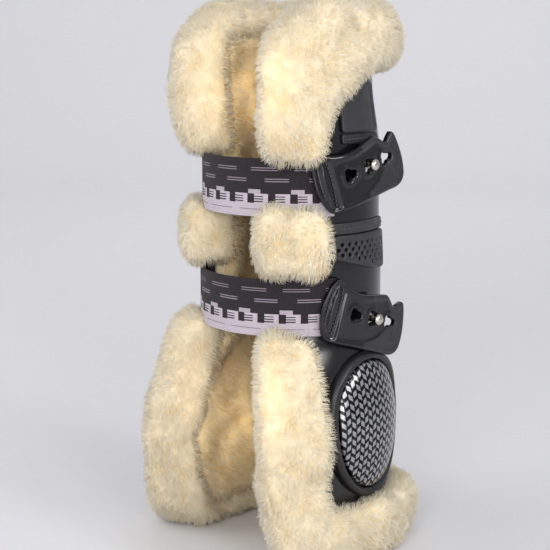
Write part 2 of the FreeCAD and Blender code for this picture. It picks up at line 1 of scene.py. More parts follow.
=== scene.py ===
# %% [markdown]
# # A sheepskin-lined tendon boot
# A tendon boot straps round a horse's lower leg, so that the horse can't bruise its tendons
# with its own hooves. This lesson builds one on top of a finished design. The design, called
# the frame, holds every part at its real size and place. Blender adds what the design leaves
# plain: wool, woven elastic, glossy mouldings and stitching.

# %% Load the frame
import json
import math

import bpy
import numpy as np
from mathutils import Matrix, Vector, geometry, kdtree


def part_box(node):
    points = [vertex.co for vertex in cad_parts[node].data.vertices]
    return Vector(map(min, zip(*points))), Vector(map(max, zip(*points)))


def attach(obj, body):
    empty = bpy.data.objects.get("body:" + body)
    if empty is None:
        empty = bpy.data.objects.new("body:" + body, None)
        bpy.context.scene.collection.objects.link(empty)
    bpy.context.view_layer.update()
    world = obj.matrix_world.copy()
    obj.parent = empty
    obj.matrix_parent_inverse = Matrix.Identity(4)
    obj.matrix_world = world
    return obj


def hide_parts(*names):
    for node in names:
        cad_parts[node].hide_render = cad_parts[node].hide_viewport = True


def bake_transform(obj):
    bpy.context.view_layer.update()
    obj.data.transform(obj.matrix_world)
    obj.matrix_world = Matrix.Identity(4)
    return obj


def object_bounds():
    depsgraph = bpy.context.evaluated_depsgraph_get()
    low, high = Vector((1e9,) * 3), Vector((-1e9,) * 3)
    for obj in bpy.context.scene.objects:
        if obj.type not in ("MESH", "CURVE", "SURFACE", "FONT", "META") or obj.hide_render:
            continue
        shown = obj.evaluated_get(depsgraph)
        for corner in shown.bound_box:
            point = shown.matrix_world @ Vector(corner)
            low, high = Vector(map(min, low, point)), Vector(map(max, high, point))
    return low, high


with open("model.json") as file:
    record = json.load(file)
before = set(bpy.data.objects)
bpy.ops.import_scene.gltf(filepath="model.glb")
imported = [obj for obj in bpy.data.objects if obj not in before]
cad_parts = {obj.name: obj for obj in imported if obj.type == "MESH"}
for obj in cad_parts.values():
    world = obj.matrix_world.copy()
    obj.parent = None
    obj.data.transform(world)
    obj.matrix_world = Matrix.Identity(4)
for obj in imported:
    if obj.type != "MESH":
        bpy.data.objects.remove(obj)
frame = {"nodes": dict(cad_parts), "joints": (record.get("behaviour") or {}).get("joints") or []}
cad_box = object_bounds()
MM = 0.001
print("frame", [round(v / MM) for v in cad_box[1] - cad_box[0]], "mm,", len(frame["nodes"]), "nodes")

# %% [markdown]
# ## Camera
# A product is shown with a long lens, so that its upright lines stay nearly parallel. An 85 mm
# lens three quarters of a metre away does that. The camera comes first, so that every later
# step can be judged in the same picture. The Standard view keeps the wool's pale colours pale.

# %% Camera, a little above the middle of the boot and turned to its front corner
LENS = 85.0
CAMERA_AWAY, CAMERA_UP, CAMERA_SHIFT = 0.750, 0.290, 0.0024
AZIMUTH, DIP, TURN = 45.0, 10.2, 0.86
camera_data = bpy.data.cameras.new("camera")
camera_data.lens = LENS
camera_data.sensor_width = 36.0
camera = bpy.data.objects.new("camera", camera_data)
bpy.context.collection.objects.link(camera)
bpy.context.scene.camera = camera
camera.location = (
    CAMERA_AWAY * math.sin(math.radians(AZIMUTH)),
    -CAMERA_AWAY * math.cos(math.radians(AZIMUTH)) + CAMERA_SHIFT,
    CAMERA_UP,
)
camera.rotation_euler = (math.radians(90 - DIP), 0, math.radians(AZIMUTH + TURN))
bpy.context.scene.view_settings.view_transform = "Standard"
print("camera", [round(v, 3) for v in camera.location], "m")

# %% [markdown]
# ## Colours and shader nodes
# People choose colours as sRGB hex codes, but a shader works in linear light, so one function
# turns the first into the second. Every material is a small tree of nodes, and one more
# function adds a node together with its settings and links, which keeps the recipes short.

# %% Colour, node and material helpers
def linear(code):
    """A linear colour from an sRGB hex code."""
    parts = [int(code[i:i + 2], 16) / 255 for i in (0, 2, 4)]
    return tuple(p / 12.92 if p <= 0.04045 else ((p + 0.055) / 1.055) ** 2.4 for p in parts) + (1.0,)


def add(tree, kind, settings=None, links=None):
    """Adds one shader node, sets its properties, and sets or links its inputs."""
    new = tree.nodes.new(kind)
    for name, value in (settings or {}).items():
        setattr(new, name, value)
    for name, value in (links or {}).items():
        socket = new.inputs[name]
        if isinstance(value, bpy.types.NodeSocket):
            tree.links.new(value, socket)
        else:
            socket.default_value = value
    return new


def material(name):
    """A new node material with a Principled shader, and its tree."""
    made = bpy.data.materials.new(name)
    made.use_nodes = True
    return made, made.node_tree, made.node_tree.nodes["Principled BSDF"]


print("mid grey is", round(linear("808080")[0], 3), "in linear light")

# %% [markdown]
# ## Soft boxes
# Wool needs soft light from several sides, or its locks turn into hard black lines. Black
# plastic needs the opposite: a few bright shapes to mirror and darkness between them. So the
# sky is an even pale grey, a small key throws the shadow, and a tall narrow box stands where
# the domes and the tabs mirror it.

# %% World and soft boxes
def hang(name, data, spot, aim):
    """Puts a lamp at a spot and turns it to face a point."""
    lamp = bpy.data.objects.new(name, data)
    lamp.location = spot
    lamp.rotation_euler = (Vector(aim) - Vector(spot)).to_track_quat("-Z", "Y").to_euler()
    bpy.context.collection.objects.link(lamp)


def area_light(name, spot, aim, width, height, power):
    """A soft box: a rectangular light, with its sizes in metres and its power in watts."""
    data = bpy.data.lights.new(name, "AREA")
    data.shape = "RECTANGLE"
    data.size, data.size_y, data.energy = width, height, power
    hang(name, data, spot, aim)


world = bpy.data.worlds.new("studio")
world.use_nodes = True
world.node_tree.nodes["Background"].inputs["Color"].default_value = linear("DFDFE0")
world.node_tree.nodes["Background"].inputs["Strength"].default_value = 0.92
bpy.context.scene.world = world
area_light("key_softbox", (1.15, 0.12, 0.80), (0, 0, 0.15), 0.3, 0.3, 4.4)
area_light("side_softbox", (1.00, -0.42, 0.38), (0, 0, 0.10), 0.30, 0.72, 3.2)
area_light("front_softbox", (0.66, -1.05, 0.58), (0, 0, 0.17), 0.5, 0.6, 5.0)
area_light("left_softbox", (-0.80, -0.95, 0.60), (0, 0, 0.15), 0.8, 0.9, 6.0)
area_light("backdrop_light", (-0.5, 0.9, 1.9), (-2.2, 2.0, 0.9), 1.2, 0.8, 15.0)

# %% [markdown]
# ## Light inside the boot
# The wool inside the boot is warm and bright, yet the rolled edges keep the soft boxes out. A
# studio uses a snoot for that, a tube that narrows a lamp's beam. A spot light with a narrow
# cone and a soft edge does the same, from just above the lens.

# %% Snoots
def snoot(name, aim, cone, power):
    """A narrow warm spot beside the lens. The cone is in degrees."""
    data = bpy.data.lights.new(name, "SPOT")
    data.energy, data.spot_size, data.spot_blend = power, math.radians(cone), 1.0
    data.shadow_soft_size = 0.02
    data.color = linear("FFEED2")[:3]
    hang(name, data, (0.55, -0.55, 0.36), aim)


snoot("upper_opening_snoot", (-0.035, -0.005, 0.258), 3.8, 24.0)
snoot("lower_opening_snoot", (-0.045, -0.004, 0.060), 4.6, 19.0)

# %% [markdown]
# ## The studio
# The boot stands on matt paper. A flat sheet would end in a line behind the boot, so the paper
# curves up into a wall. It does so all the way round, like a bowl, because the boot is looked
# at from every side. It is made as rings of points joined by four-sided faces.

# %% Round paper studio
PAPER_DROP = 0.0004
FLOOR_RADIUS, BEND_RADIUS, WALL_HEIGHT, STEPS = 1.9, 0.9, 2.6, 96


def bowl():
    """A flat floor that curves up into a wall all the way round, in metres."""
    profile = [(0.6, 0.0), (FLOOR_RADIUS, 0.0)]
    for step in range(1, 17):
        angle = math.pi / 2 * step / 16
        away = FLOOR_RADIUS + BEND_RADIUS * math.sin(angle)
        profile.append((away, BEND_RADIUS * (1 - math.cos(angle))))
    profile.append((FLOOR_RADIUS + BEND_RADIUS, WALL_HEIGHT))
    verts = [(0.0, 0.0, -PAPER_DROP)]
    for away, up in profile:
        for step in range(STEPS):
            angle = 2 * math.pi * step / STEPS
            verts.append((away * math.cos(angle), away * math.sin(angle), up - PAPER_DROP))
    faces = [(0, 1 + k, 1 + (k + 1) % STEPS) for k in range(STEPS)]
    for ring in range(len(profile) - 1):
        low = 1 + ring * STEPS
        for k in range(STEPS):
            after = (k + 1) % STEPS
            faces.append((low + k, low + STEPS + k, low + STEPS + after, low + after))
    mesh = bpy.data.meshes.new("floor")
    mesh.from_pydata(verts, [], faces)
    mesh.polygons.foreach_set("use_smooth", [True] * len(mesh.polygons))
    made = bpy.data.objects.new("floor", mesh)
    bpy.context.collection.objects.link(made)
    return made


floor = bowl()
# Uncoated paper scatters light evenly and hardly shines, so the shadow stays soft on it.
floor_paper, tree, shader = material("matt_uncoated_paper")
shader.inputs["Base Color"].default_value = linear("DEDEE1")
shader.inputs["Roughness"].default_value = 0.95
shader.inputs["Specular IOR Level"].default_value = 0.1
floor.data.materials.append(floor_paper)
print("studio", 2 * (FLOOR_RADIUS + BEND_RADIUS), "m across")

# %% [markdown]
# ## The boot's own surface
# The whole boot is layers of one surface: shell, panels, straps and tabs all follow it. At
# each height its section is two equal half circles joined by straight sides. Writing that rule
# down once means that everything later can be drawn flat and then laid on the boot.

# %% Levels of the surface, in millimetres
LEG_Y = 2.4
UPPER_LOW, UPPER_HIGH = (v.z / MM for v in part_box("upper_strap_band"))
LOWER_LOW, LOWER_HIGH = (v.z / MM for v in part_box("lower_strap_band"))
UPPER_MID, LOWER_MID = (UPPER_LOW + UPPER_HIGH) / 2, (LOWER_LOW + LOWER_HIGH) / 2
STRAP_WIDTH = UPPER_HIGH - UPPER_LOW
DOME_LOW, DOME_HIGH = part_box("strike_dome_right")
DOME_Z = (DOME_LOW.z + DOME_HIGH.z) / 2 / MM
TOP = cad_box[1].z / MM
# The section stays the same over each strap and a little past it, so that the strap lies flat.
BAND = STRAP_WIDTH / 2 + 4
HEIGHTS = [0, 30, DOME_Z, 108, LOWER_MID - BAND, LOWER_MID + BAND, UPPER_MID - BAND,
           UPPER_MID + BAND, 262, TOP]
RADII = [54, 56, 56.5, 54, 50.5, 50.5, 49, 49, 44.5, 43]
LENGTHS = [25, 26, 24, 12, 2, 2, 2, 2, 17, 18]


def section(z):
    """The shell's radius and the distance between its two circle centres, eased between levels."""
    z = np.asarray(z, float)
    steps = np.linspace(-5, 5, 7)
    radius = np.mean([np.interp(z + s, HEIGHTS, RADII) for s in steps], axis=0)
    length = np.mean([np.interp(z + s, HEIGHTS, LENGTHS) for s in steps], axis=0)
    return radius, length


print("girth at the lower strap", round(2 * math.pi * RADII[5] + 2 * LENGTHS[5]), "mm")

# %% [markdown]
# ## Two ways to find a point on the boot
# A strap is measured round the leg and a panel is drawn from the side, so there are two
# functions. `around` walks from the middle of the back. `beside` works from a side view. Both
# take an offset outwards, so the same drawing can sit on the shell or inside it.

# %% Points round the boot and beside it
def around(distance, z, out):
    """A point a distance round the shell from the middle of the back, at an offset outwards."""
    distance, z, out = np.broadcast_arrays(*(np.asarray(v, float) for v in (distance, z, out)))
    radius, length = section(z)
    sign = np.where(distance < 0, -1.0, 1.0)
    walked = np.abs(distance)
    quarter = radius * math.pi / 2
    back = np.clip(walked, 0, quarter) / radius
    straight = np.clip(walked - quarter, 0, length)
    front = np.clip(walked - quarter - length, 0, None) / radius
    angle = back + front
    x = (radius + out) * np.sin(angle) * sign
    y = (radius + out) * np.cos(angle) - straight
    return np.stack([x, y + LEG_Y, z], -1)


def beside(y, z, out, side=1):
    """The point on one side whose place on the shell has this y, at an offset outwards."""
    y, z, out = np.broadcast_arrays(*(np.asarray(v, float) for v in (y, z, out)))
    radius, length = section(z)
    past = np.where(y > 0, y, np.where(y < -length, y + length, 0.0))
    sine = np.clip(past / radius, -0.999, 0.999)
    x = (radius + out) * np.sqrt(1 - sine ** 2) * side
    return np.stack([x, y + out * sine + LEG_Y, z], -1)


print("middle of the back at the upper strap", around(0, UPPER_MID, 0).round(1), "mm")

# %% [markdown]
# ## Outlines
# Moulded parts begin as flat outlines. Corners need rounding, because no mould has a sharp
# corner, and freer shapes are a smooth curve through a few points. Both are then walked at an
# even spacing, so that the faces made from them are even too.

# %% Rounded, smooth and evenly spaced outlines
def rounded(points, radius, steps=6):
    """A closed outline whose corners are rounded by short curves."""
    points = [np.array(p, float) for p in points]
    out = []
    for i, corner in enumerate(points):
        before, after = points[i - 1], points[(i + 1) % len(points)]
        cut_a = min(radius, 0.45 * np.linalg.norm(before - corner))
        cut_b = min(radius, 0.45 * np.linalg.norm(after - corner))
        a = corner + (before - corner) / np.linalg.norm(before - corner) * cut_a
        b = corner + (after - corner) / np.linalg.norm(after - corner) * cut_b
        for k in range(steps + 1):
            t = k / steps
            out.append((1 - t) ** 2 * a + 2 * t * (1 - t) * corner + t * t * b)
    return np.array(out)


def spline(points, steps=10):
    """A smooth closed outline through its points."""
    points = np.array(points, float)
    t = np.linspace(0, 1, steps, endpoint=False)[:, None]
    out = []
    for i in range(len(points)):
        p0, p1, p2, p3 = (points[(i + k - 1) % len(points)] for k in range(4))
        out.append(0.5 * (2 * p1 + (p2 - p0) * t + (2 * p0 - 5 * p1 + 4 * p2 - p3) * t ** 2
                          + (3 * p1 - p0 - 3 * p2 + p3) * t ** 3))
    return np.concatenate(out)


def even(loop, spacing):
    """The closed loop again, with points at an even spacing."""
    loop = np.vstack([loop, loop[:1]])
    run = np.concatenate([[0], np.cumsum(np.linalg.norm(np.diff(loop, axis=0), axis=1))])
    count = max(8, int(run[-1] / spacing))
    at = np.linspace(0, run[-1], count, endpoint=False)
    return np.stack([np.interp(at, run, loop[:, k]) for k in (0, 1)], -1)


print("points on a test outline", len(even(rounded([(0, 0), (30, 0), (30, 20), (0, 20)], 4), 1.0)))

# %% [markdown]
# ## Inside or outside, and how near the edge
# Two questions decide the shape of a moulding at each point: whether the point is in the part
# at all, and how far it is from the nearest edge or hole. The second gives rounded lips.

# %% Tests against outlines
def inside(points, loop):
    """Which points lie inside a closed loop."""
    x, y = points[:, 0][:, None], points[:, 1][:, None]
    a, b = loop, np.roll(loop, -1, axis=0)
    crosses = (a[:, 1] > y) != (b[:, 1] > y)
    slope = (b[:, 0] - a[:, 0]) / np.where(b[:, 1] == a[:, 1], 1e-9, b[:, 1] - a[:, 1])
    return (crosses & (x < a[:, 0] + slope * (y - a[:, 1]))).sum(1) % 2 == 1


def between(points, loops):
    """Which points lie inside the first loop and outside the others."""
    keep = inside(points, loops[0])
    for loop in loops[1:]:
        keep &= ~inside(points, loop)
    return keep


def edge_distance(points, loops):
    """How far each point is from the nearest loop."""
    best = np.full(len(points), 1e9)
    for loop in loops:
        a, b = loop, np.roll(loop, -1, axis=0)
        for low in range(0, len(points), 4000):
            p = points[low:low + 4000, None]
            run = b - a
            t = np.clip(((p - a) * run).sum(-1) / np.maximum((run ** 2).sum(-1), 1e-12), 0, 1)
            gap = np.linalg.norm(p - (a + run * t[..., None]), axis=-1).min(1)
            best[low:low + 4000] = np.minimum(best[low:low + 4000], gap)
    return best


square = even(np.array([(0, 0), (20, 0), (20, 20), (0, 20)], float), 1.0)
print("middle of a 20 mm square is", round(edge_distance(np.array([[10.0, 10.0]]), [square])[0]), "mm in")

# %% [markdown]
# ## Pieces
# Everything visible becomes a piece: a mesh with its materials that rides on one of the
# frame's bodies, so that it moves when the boot is opened. A piece can also take the place of
# a plain part of the design.

# %% From a mesh to a piece
def finish_mesh(mesh, materials, indices=None, smooth=True):
    """Gives a mesh its materials and its shading."""
    for one in materials:
        mesh.materials.append(one)
    mesh.polygons.foreach_set("use_smooth", np.full(len(mesh.polygons), smooth))
    if indices is not None:
        mesh.polygons.foreach_set("material_index", np.asarray(indices, np.int32))
    mesh.update()


def place(name, mesh, body, replaces=()):
    """Puts a mesh in the scene as a piece on a body."""
    made = bpy.data.objects.new(name, mesh)
    bpy.context.collection.objects.link(made)
    if body:
        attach(made, body)
    if replaces:
        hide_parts(*replaces)
    return made


def piece(name, points, faces, materials, body, replaces=(), indices=None, smooth=True):
    """A mesh object from points in millimetres, riding on a body."""
    mesh = bpy.data.meshes.new(name)
    mesh.from_pydata(np.asarray(points) * MM, [], [tuple(f) for f in faces])
    finish_mesh(mesh, materials, indices, smooth)
    return place(name, mesh, body, replaces)


# %% [markdown]
# ## Filling an outline
# A plate with holes could be cut with boolean tools, but those leave long thin faces that
# shade badly. Instead, points are spread over the outline, closer together beside its edges,
# and a Delaunay triangulation joins them. The holes are real and their rims stay crisp.

# %% Fine triangles over an outline
def seeds(loops, spacing):
    """Points that fill a plate: its outlines, rings close beside them, and an even grid."""
    rings = []
    for loop in loops:
        along = np.roll(loop, -1, axis=0) - np.roll(loop, 1, axis=0)
        normal = np.stack([-along[:, 1], along[:, 0]], -1)
        normal /= np.maximum(np.linalg.norm(normal, axis=1, keepdims=True), 1e-9)
        for step in (0.25, 0.6):
            for way in (-1, 1):
                rings.append(loop + normal * step * way)
    low, high = loops[0].min(0), loops[0].max(0)
    grid = np.stack(np.meshgrid(np.arange(low[0], high[0], spacing),
                                np.arange(low[1], high[1], spacing)), -1).reshape(-1, 2)
    grid = grid[edge_distance(grid, loops) > max(0.6 * spacing, 0.8)]
    rings = np.concatenate(rings)
    rings = rings[edge_distance(rings, loops) > 0.2]
    extra = np.concatenate([grid, rings])
    return np.concatenate([*loops, extra[between(extra, loops)]])


def filled(loops, spacing):
    """Flat points and triangles over the first loop, with the other loops left as holes."""
    edges, start = [], 0
    for loop in loops:
        count = len(loop)
        edges += [(start + i, start + (i + 1) % count) for i in range(count)]
        start += count
    made = geometry.delaunay_2d_cdt([Vector(p) for p in seeds(loops, spacing)], edges, [], 0, 1e-5)
    flat = np.array([(v.x, v.y) for v in made[0]])
    triangles = np.array([f for f in made[2] if len(f) == 3])
    triangles = triangles[between(flat[triangles].mean(1), loops)]
    a, b, c = (flat[triangles[:, k]] for k in range(3))
    turn = (b[:, 0] - a[:, 0]) * (c[:, 1] - a[:, 1]) - (b[:, 1] - a[:, 1]) * (c[:, 0] - a[:, 0])
    triangles[turn < 0] = triangles[turn < 0][:, ::-1]
    used, triangles = np.unique(triangles, return_inverse=True)
    return flat[used], triangles.reshape(-1, 3)


print("triangles in a 20 mm square", len(filled([square], 1.0)[1]))

# %% [markdown]
# ## Plates and ribbons
# A filled outline becomes a closed solid when it has a top, an underside and a wall round each
# edge. A ribbon is the other basic form: sections in a row, each joined to the next, with both
# ends capped. A soft edge lowers a moulding's surface as a quarter circle beside its rim.

# %% Closed plates, ribbons and the rounded lip
def plate(outline, holes, spacing, height, base, wrap):
    """A closed solid over an outline: points, faces, and each top point's flat place."""
    loops = [even(np.asarray(loop, float), spacing) for loop in [outline, *holes]]
    flat, triangles = filled(loops, spacing)
    gap = edge_distance(flat, loops)
    top = wrap(flat[:, 0], flat[:, 1], height(flat[:, 0], flat[:, 1], gap))
    under = wrap(flat[:, 0], flat[:, 1], np.full(len(flat), float(base)))
    count = len(flat)
    sides = np.concatenate([triangles[:, [0, 1]], triangles[:, [1, 2]], triangles[:, [2, 0]]])
    codes = {tuple(e) for e in sides.tolist()}
    rim = [(i, j) for i, j in codes if (j, i) not in codes]
    faces = [tuple(t) for t in triangles.tolist()]
    faces += [tuple(t[::-1]) for t in (triangles + count).tolist()]
    faces += [(j, i, i + count, j + count) for i, j in rim]
    return np.concatenate([top, under]), faces, flat


def soft_edge(gap, radius):
    """How far a moulding's surface falls near its edge, for a rounded lip of a radius."""
    near = np.clip(radius - gap, 0, radius)
    return radius - np.sqrt(np.maximum(radius ** 2 - near ** 2, 0))


def grid_piece(rows):
    """Points and faces of a closed ribbon from a rows x columns x 3 array, wrapped across."""
    count, across = rows.shape[:2]
    faces = []
    for i in range(count - 1):
        for j in range(across):
            k = (j + 1) % across
            faces.append((i * across + j, i * across + k, (i + 1) * across + k, (i + 1) * across + j))
    faces.append(tuple(range(across))[::-1])
    faces.append(tuple((count - 1) * across + j for j in range(across)))
    return rows.reshape(-1, 3), faces


print("a 1 mm lip falls", round(float(soft_edge(np.array(0.5), 1.0)), 2), "mm half a millimetre in")

# %% [markdown]
# ## Dark plastics, rubber and coatings
# The shell and the tabs are moulded in thermoplastic polyurethane, or TPU, against a polished
# steel mould. That gives near-black parts with clear highlights. The rims, the soft panels,
# the thread and the foam are just as dark and only rougher. So one recipe serves them all: a
# colour, a roughness with cloudy handling marks about 8 mm across, and a fine grain.

# %% One recipe for every dark finish
def dark_finish(name, colour, roughness, grain):
    """A dark moulded or coated surface, with uneven gloss and a grain 0.6 mm across."""
    made, tree, shader = material(name)
    shader.inputs["Base Color"].default_value = linear(colour)
    shader.inputs["IOR"].default_value = 1.5
    shader.inputs["Coat Weight"].default_value = 0.05
    shader.inputs["Coat Roughness"].default_value = 0.06
    where = add(tree, "ShaderNodeTexCoord")
    cloud = add(tree, "ShaderNodeTexNoise", None,
                {"Vector": where.outputs["Object"], "Scale": 1 / 0.008, "Detail": 4.0})
    rough = add(tree, "ShaderNodeMapRange", None,
                {"Value": cloud.outputs["Fac"], "From Min": 0.3, "From Max": 0.7,
                 "To Min": roughness * 0.8, "To Max": roughness * 1.3})
    tree.links.new(rough.outputs["Result"], shader.inputs["Roughness"])
    fine = add(tree, "ShaderNodeTexNoise", None,
               {"Vector": where.outputs["Object"], "Scale": 1 / 0.0006, "Detail": 2.0})
    bump = add(tree, "ShaderNodeBump", None,
               {"Height": fine.outputs["Fac"], "Strength": grain, "Distance": 0.0001})
    tree.links.new(bump.outputs["Normal"], shader.inputs["Normal"])
    return made


# Polished-mould TPU: deep black with long clear highlights.
shell_gloss = dark_finish("glossy_moulded_tpu_shell", "121114", 0.2, 0.02)
tab_gloss = dark_finish("glossy_moulded_tpu_tab", "121215", 0.12, 0.02)
# A fine-blasted mould leaves the grip and the rims satin, so they read as a softer black.
tab_satin = dark_finish("satin_moulded_tpu_grip", "26262A", 0.34, 0.1)
rim_rubber = dark_finish("satin_moulded_rubber_rim", "18181B", 0.36, 0.2)
# Sprayed soft-touch coating: broad dull highlights, with the recesses a shade darker.
panel_satin = dark_finish("soft_touch_coated_panel", "2B2A2E", 0.44, 0.2)
panel_dark = dark_finish("soft_touch_coated_recess", "1D1D20", 0.48, 0.2)
# Spun polyester thread: nearly matt, a little paler than what it sews.
thread = dark_finish("spun_polyester_thread", "4A4950", 0.7, 0.6)
print("last dark finish made:", thread.name)

# %% [markdown]
# ## Sheepskin finishes
# Sheepskin is wool still standing on its own skin. Light that falls between the fibres is
# scattered many times and comes back warmer, so deep places are more golden than the tips.
# The skin gets painted shade, mottled darker and warmer, and the fibres are mixed from four shades.

# %% Wool skin and fibres
def wool(name, colour, painted_shade):
    """The skin side of the pile, with painted shade in lock-sized noise patches of a darker, warmer colour.
    """
    made, tree, shader = material(name)
    where = add(tree, "ShaderNodeTexCoord")
    # Locks are about 12 mm across. Fibres are under a millimetre and hang downwards.
    lock = add(tree, "ShaderNodeTexNoise", None,
               {"Vector": where.outputs["Object"], "Scale": 1 / 0.012, "Detail": 5.0})
    # Painted shade: the skin turns to the darker, warmer colour in random lock-sized patches.
    tint = add(tree, "ShaderNodeValToRGB", None, {"Fac": lock.outputs["Fac"]})
    tint.color_ramp.elements[0].color = linear(painted_shade)
    tint.color_ramp.elements[0].position = 0.3
    tint.color_ramp.elements[1].color = linear(colour)
    tint.color_ramp.elements[1].position = 0.55
    tree.links.new(tint.outputs["Color"], shader.inputs["Base Color"])
    hang = add(tree, "ShaderNodeMapping", None, {"Vector": where.outputs["Object"], "Scale": (1, 1, 0.3)})
    fibre = add(tree, "ShaderNodeTexNoise", None,
                {"Vector": hang.outputs["Vector"], "Scale": 1 / 0.0008, "Detail": 3.0})
    bump = add(tree, "ShaderNodeBump", None,
               {"Height": fibre.outputs["Fac"], "Strength": 0.5, "Distance": 0.0005})
    tree.links.new(bump.outputs["Normal"], shader.inputs["Normal"])
    shader.inputs["Roughness"].default_value = 0.95
    shader.inputs["Sheen Weight"].default_value = 0.25
    shader.inputs["Sheen Roughness"].default_value = 0.5
    return made


def fibre(name, colour):
    """One shade of wool fibre. A strand is too thin to carry a pattern, so shades are mixed."""
    made, tree, shader = material(name)
    shader.inputs["Base Color"].default_value = linear(colour)
    shader.inputs["Roughness"].default_value = 0.8
    shader.inputs["Sheen Weight"].default_value = 0.3
    shader.inputs["Sheen Roughness"].default_value = 0.4
    shader.inputs["Subsurface Weight"].default_value = 0.0
    return made


# The last colour of each skin is painted shade, laid in lock-sized noise patches.
fleece_skin = wool("sheepskin_pile_base", "F3E4C4", "E3CB9C")
# The lining's colours are painted glow: warmer and brighter than the outer wool, for light that bounces
# inside the boot.
lining_skin = wool("sheepskin_lining_base_painted_glow", "F9E4B8", "EFCB8C")
FIBRES = [fibre("wool_fibre_" + word, code) for word, code in (
    ("cream", "F5E8CB"), ("ivory", "F8EFDA"), ("butter", "F2E1BC"), ("oat", "ECD7AC"))]
# Painted glow: the lining's fibre shades are warmer and brighter, for light that bounces between the fibres.
GLOW_PAINTED_FIBRES = [fibre("glow_painted_wool_fibre_" + word, code) for word, code in (
    ("cream", "FAE6BC"), ("ivory", "FBEDD0"), ("butter", "F7DBA4"), ("oat", "F0CE90"))]
print("fibre shades", len(FIBRES) + len(GLOW_PAINTED_FIBRES))

# %% [markdown]
# ## Soft lumps
# Wool swells where nothing holds it and curls away at the top and at the foot. Cloth
# simulation suits a thin cover over filling. This is a thick pile bonded to the boot, so the
# swelling is a sum of smooth waves, with seeded directions so that every run is the same.

# %% Waves, swelling and the opened front
def waves(co, scale, seed, count=7):
    """Smooth pseudo-noise from a few sine waves whose directions and phases are seeded."""
    random = np.random.default_rng(seed)
    total = np.zeros(len(co))
    for _ in range(count):
        way = random.normal(size=3)
        way /= np.linalg.norm(way)
        total += np.sin(co @ way * 2 * math.pi / (scale * random.uniform(0.7, 1.5))
                        + random.uniform(0, 2 * math.pi))
    return total / count ** 0.5


def roll_lumps(co, seed):
    """Swelling of a roll: broad lumps with smaller clumps on them, in millimetres."""
    return 2.4 + 1.2 * waves(co, 36, seed) + 0.6 * waves(co, 14, seed + 1) + 0.3 * waves(co, 6, seed + 2)


def spread(co):
    """Opens the front of the sheepskin wider at the very top and at the foot, as it curls away."""
    middle = np.array([0.0, LEG_Y - 18.0])
    away = co[:, :2] - middle
    angle = np.arctan2(np.abs(away[:, 0]), -away[:, 1])
    near_front = np.clip((math.radians(110) - angle) / math.radians(70), 0, 1)
    opened = np.interp(co[:, 2], [0, 8, 16, 30, 48, 288, 295, 312, 322],
                       [24, 15, 9, 4, 0, 0, 2, 26, 34])
    turned = angle + np.radians(opened) * near_front
    reach = np.linalg.norm(away, axis=1)
    side = np.sign(away[:, 0])
    moved = co.copy()
    moved[:, 0] = middle[0] + reach * np.sin(turned) * side
    moved[:, 1] = middle[1] - reach * np.cos(turned)
    return moved


heel = np.array([[0.0, 60.0, 300.0]])
print("a roll swells about", round(float(roll_lumps(heel, 40)[0]), 1), "mm at the back of the top")

# %% [markdown]
# ## Relaxed solids
# The design's rolls are plain solids with hard corners. A voxel remesh turns one into small
# even faces. Moving each point a little towards its neighbours, again and again, then rounds
# the corners as stuffing would. The lumps come last, so that they aren't smoothed away.

# %% Remesh, relax and swell
RELAX_SHARE = 0.6


def read(items, field, kind=float):
    """A three-part field of mesh items as an array, one row for each item."""
    values = np.empty(len(items) * 3, kind)
    items.foreach_get(field, values)
    return values.reshape(-1, 3)


def remeshed(name, node, voxel):
    """The plain solid of a node as a mesh of small even faces."""
    design = frame["nodes"][node].data
    mesh = bpy.data.meshes.new(name)
    mesh.from_pydata([v.co.copy() for v in design.vertices], [], [tuple(p.vertices) for p in design.polygons])
    temp = bpy.data.objects.new(name + "_temp", mesh)
    bpy.context.collection.objects.link(temp)
    remesh = temp.modifiers.new("remesh", "REMESH")
    remesh.mode = "VOXEL"
    remesh.voxel_size = voxel * MM
    graph = bpy.context.evaluated_depsgraph_get()
    made = bpy.data.meshes.new_from_object(temp.evaluated_get(graph))
    bpy.data.objects.remove(temp)
    return made


def relaxed(name, node, voxel, rounds, seed, bulge=None):
    """The solid of a node, rounded and swollen. The bulge is added to each point's height."""
    made = remeshed(name, node, voxel)
    co = read(made.vertices, "co") / MM
    pairs = np.empty(len(made.edges) * 2, np.int64)
    made.edges.foreach_get("vertices", pairs)
    a, b = pairs.reshape(-1, 2).T
    degree = np.bincount(np.concatenate([a, b]), minlength=len(co))[:, None]
    for _ in range(rounds):
        total = np.zeros_like(co)
        np.add.at(total, a, co[b])
        np.add.at(total, b, co[a])
        co += (total / degree - co) * RELAX_SHARE
    made.vertices.foreach_set("co", (co * MM).ravel())
    made.update()
    co += read(made.vertex_normals, "vector") * roll_lumps(co, seed)[:, None]
    if bulge is not None:
        co[:, 2] += bulge(co[:, 2])
    co = spread(co)
    co[:, 2] = np.maximum(co[:, 2], 0.0)
    made.vertices.foreach_set("co", (co * MM).ravel())
    made.update()
    return made


print("the upper roll's solid has", len(frame["nodes"]["upper_fleece_roll"].data.polygons), "faces")

# %% [markdown]
# ## Where fibres stand
# Fibres have to be spread evenly by area, not by face, or small faces would look thick with
# wool. Each one gets a random triangle, picked by its area, and a random place in it.
# Neighbouring fibres lean together into locks, which is what tells wool from a brush.

# %% Scatter fibres and gather them into locks
SAG, GATHER = 0.3, 0.3
FIBRES_IN_LOCK = 14


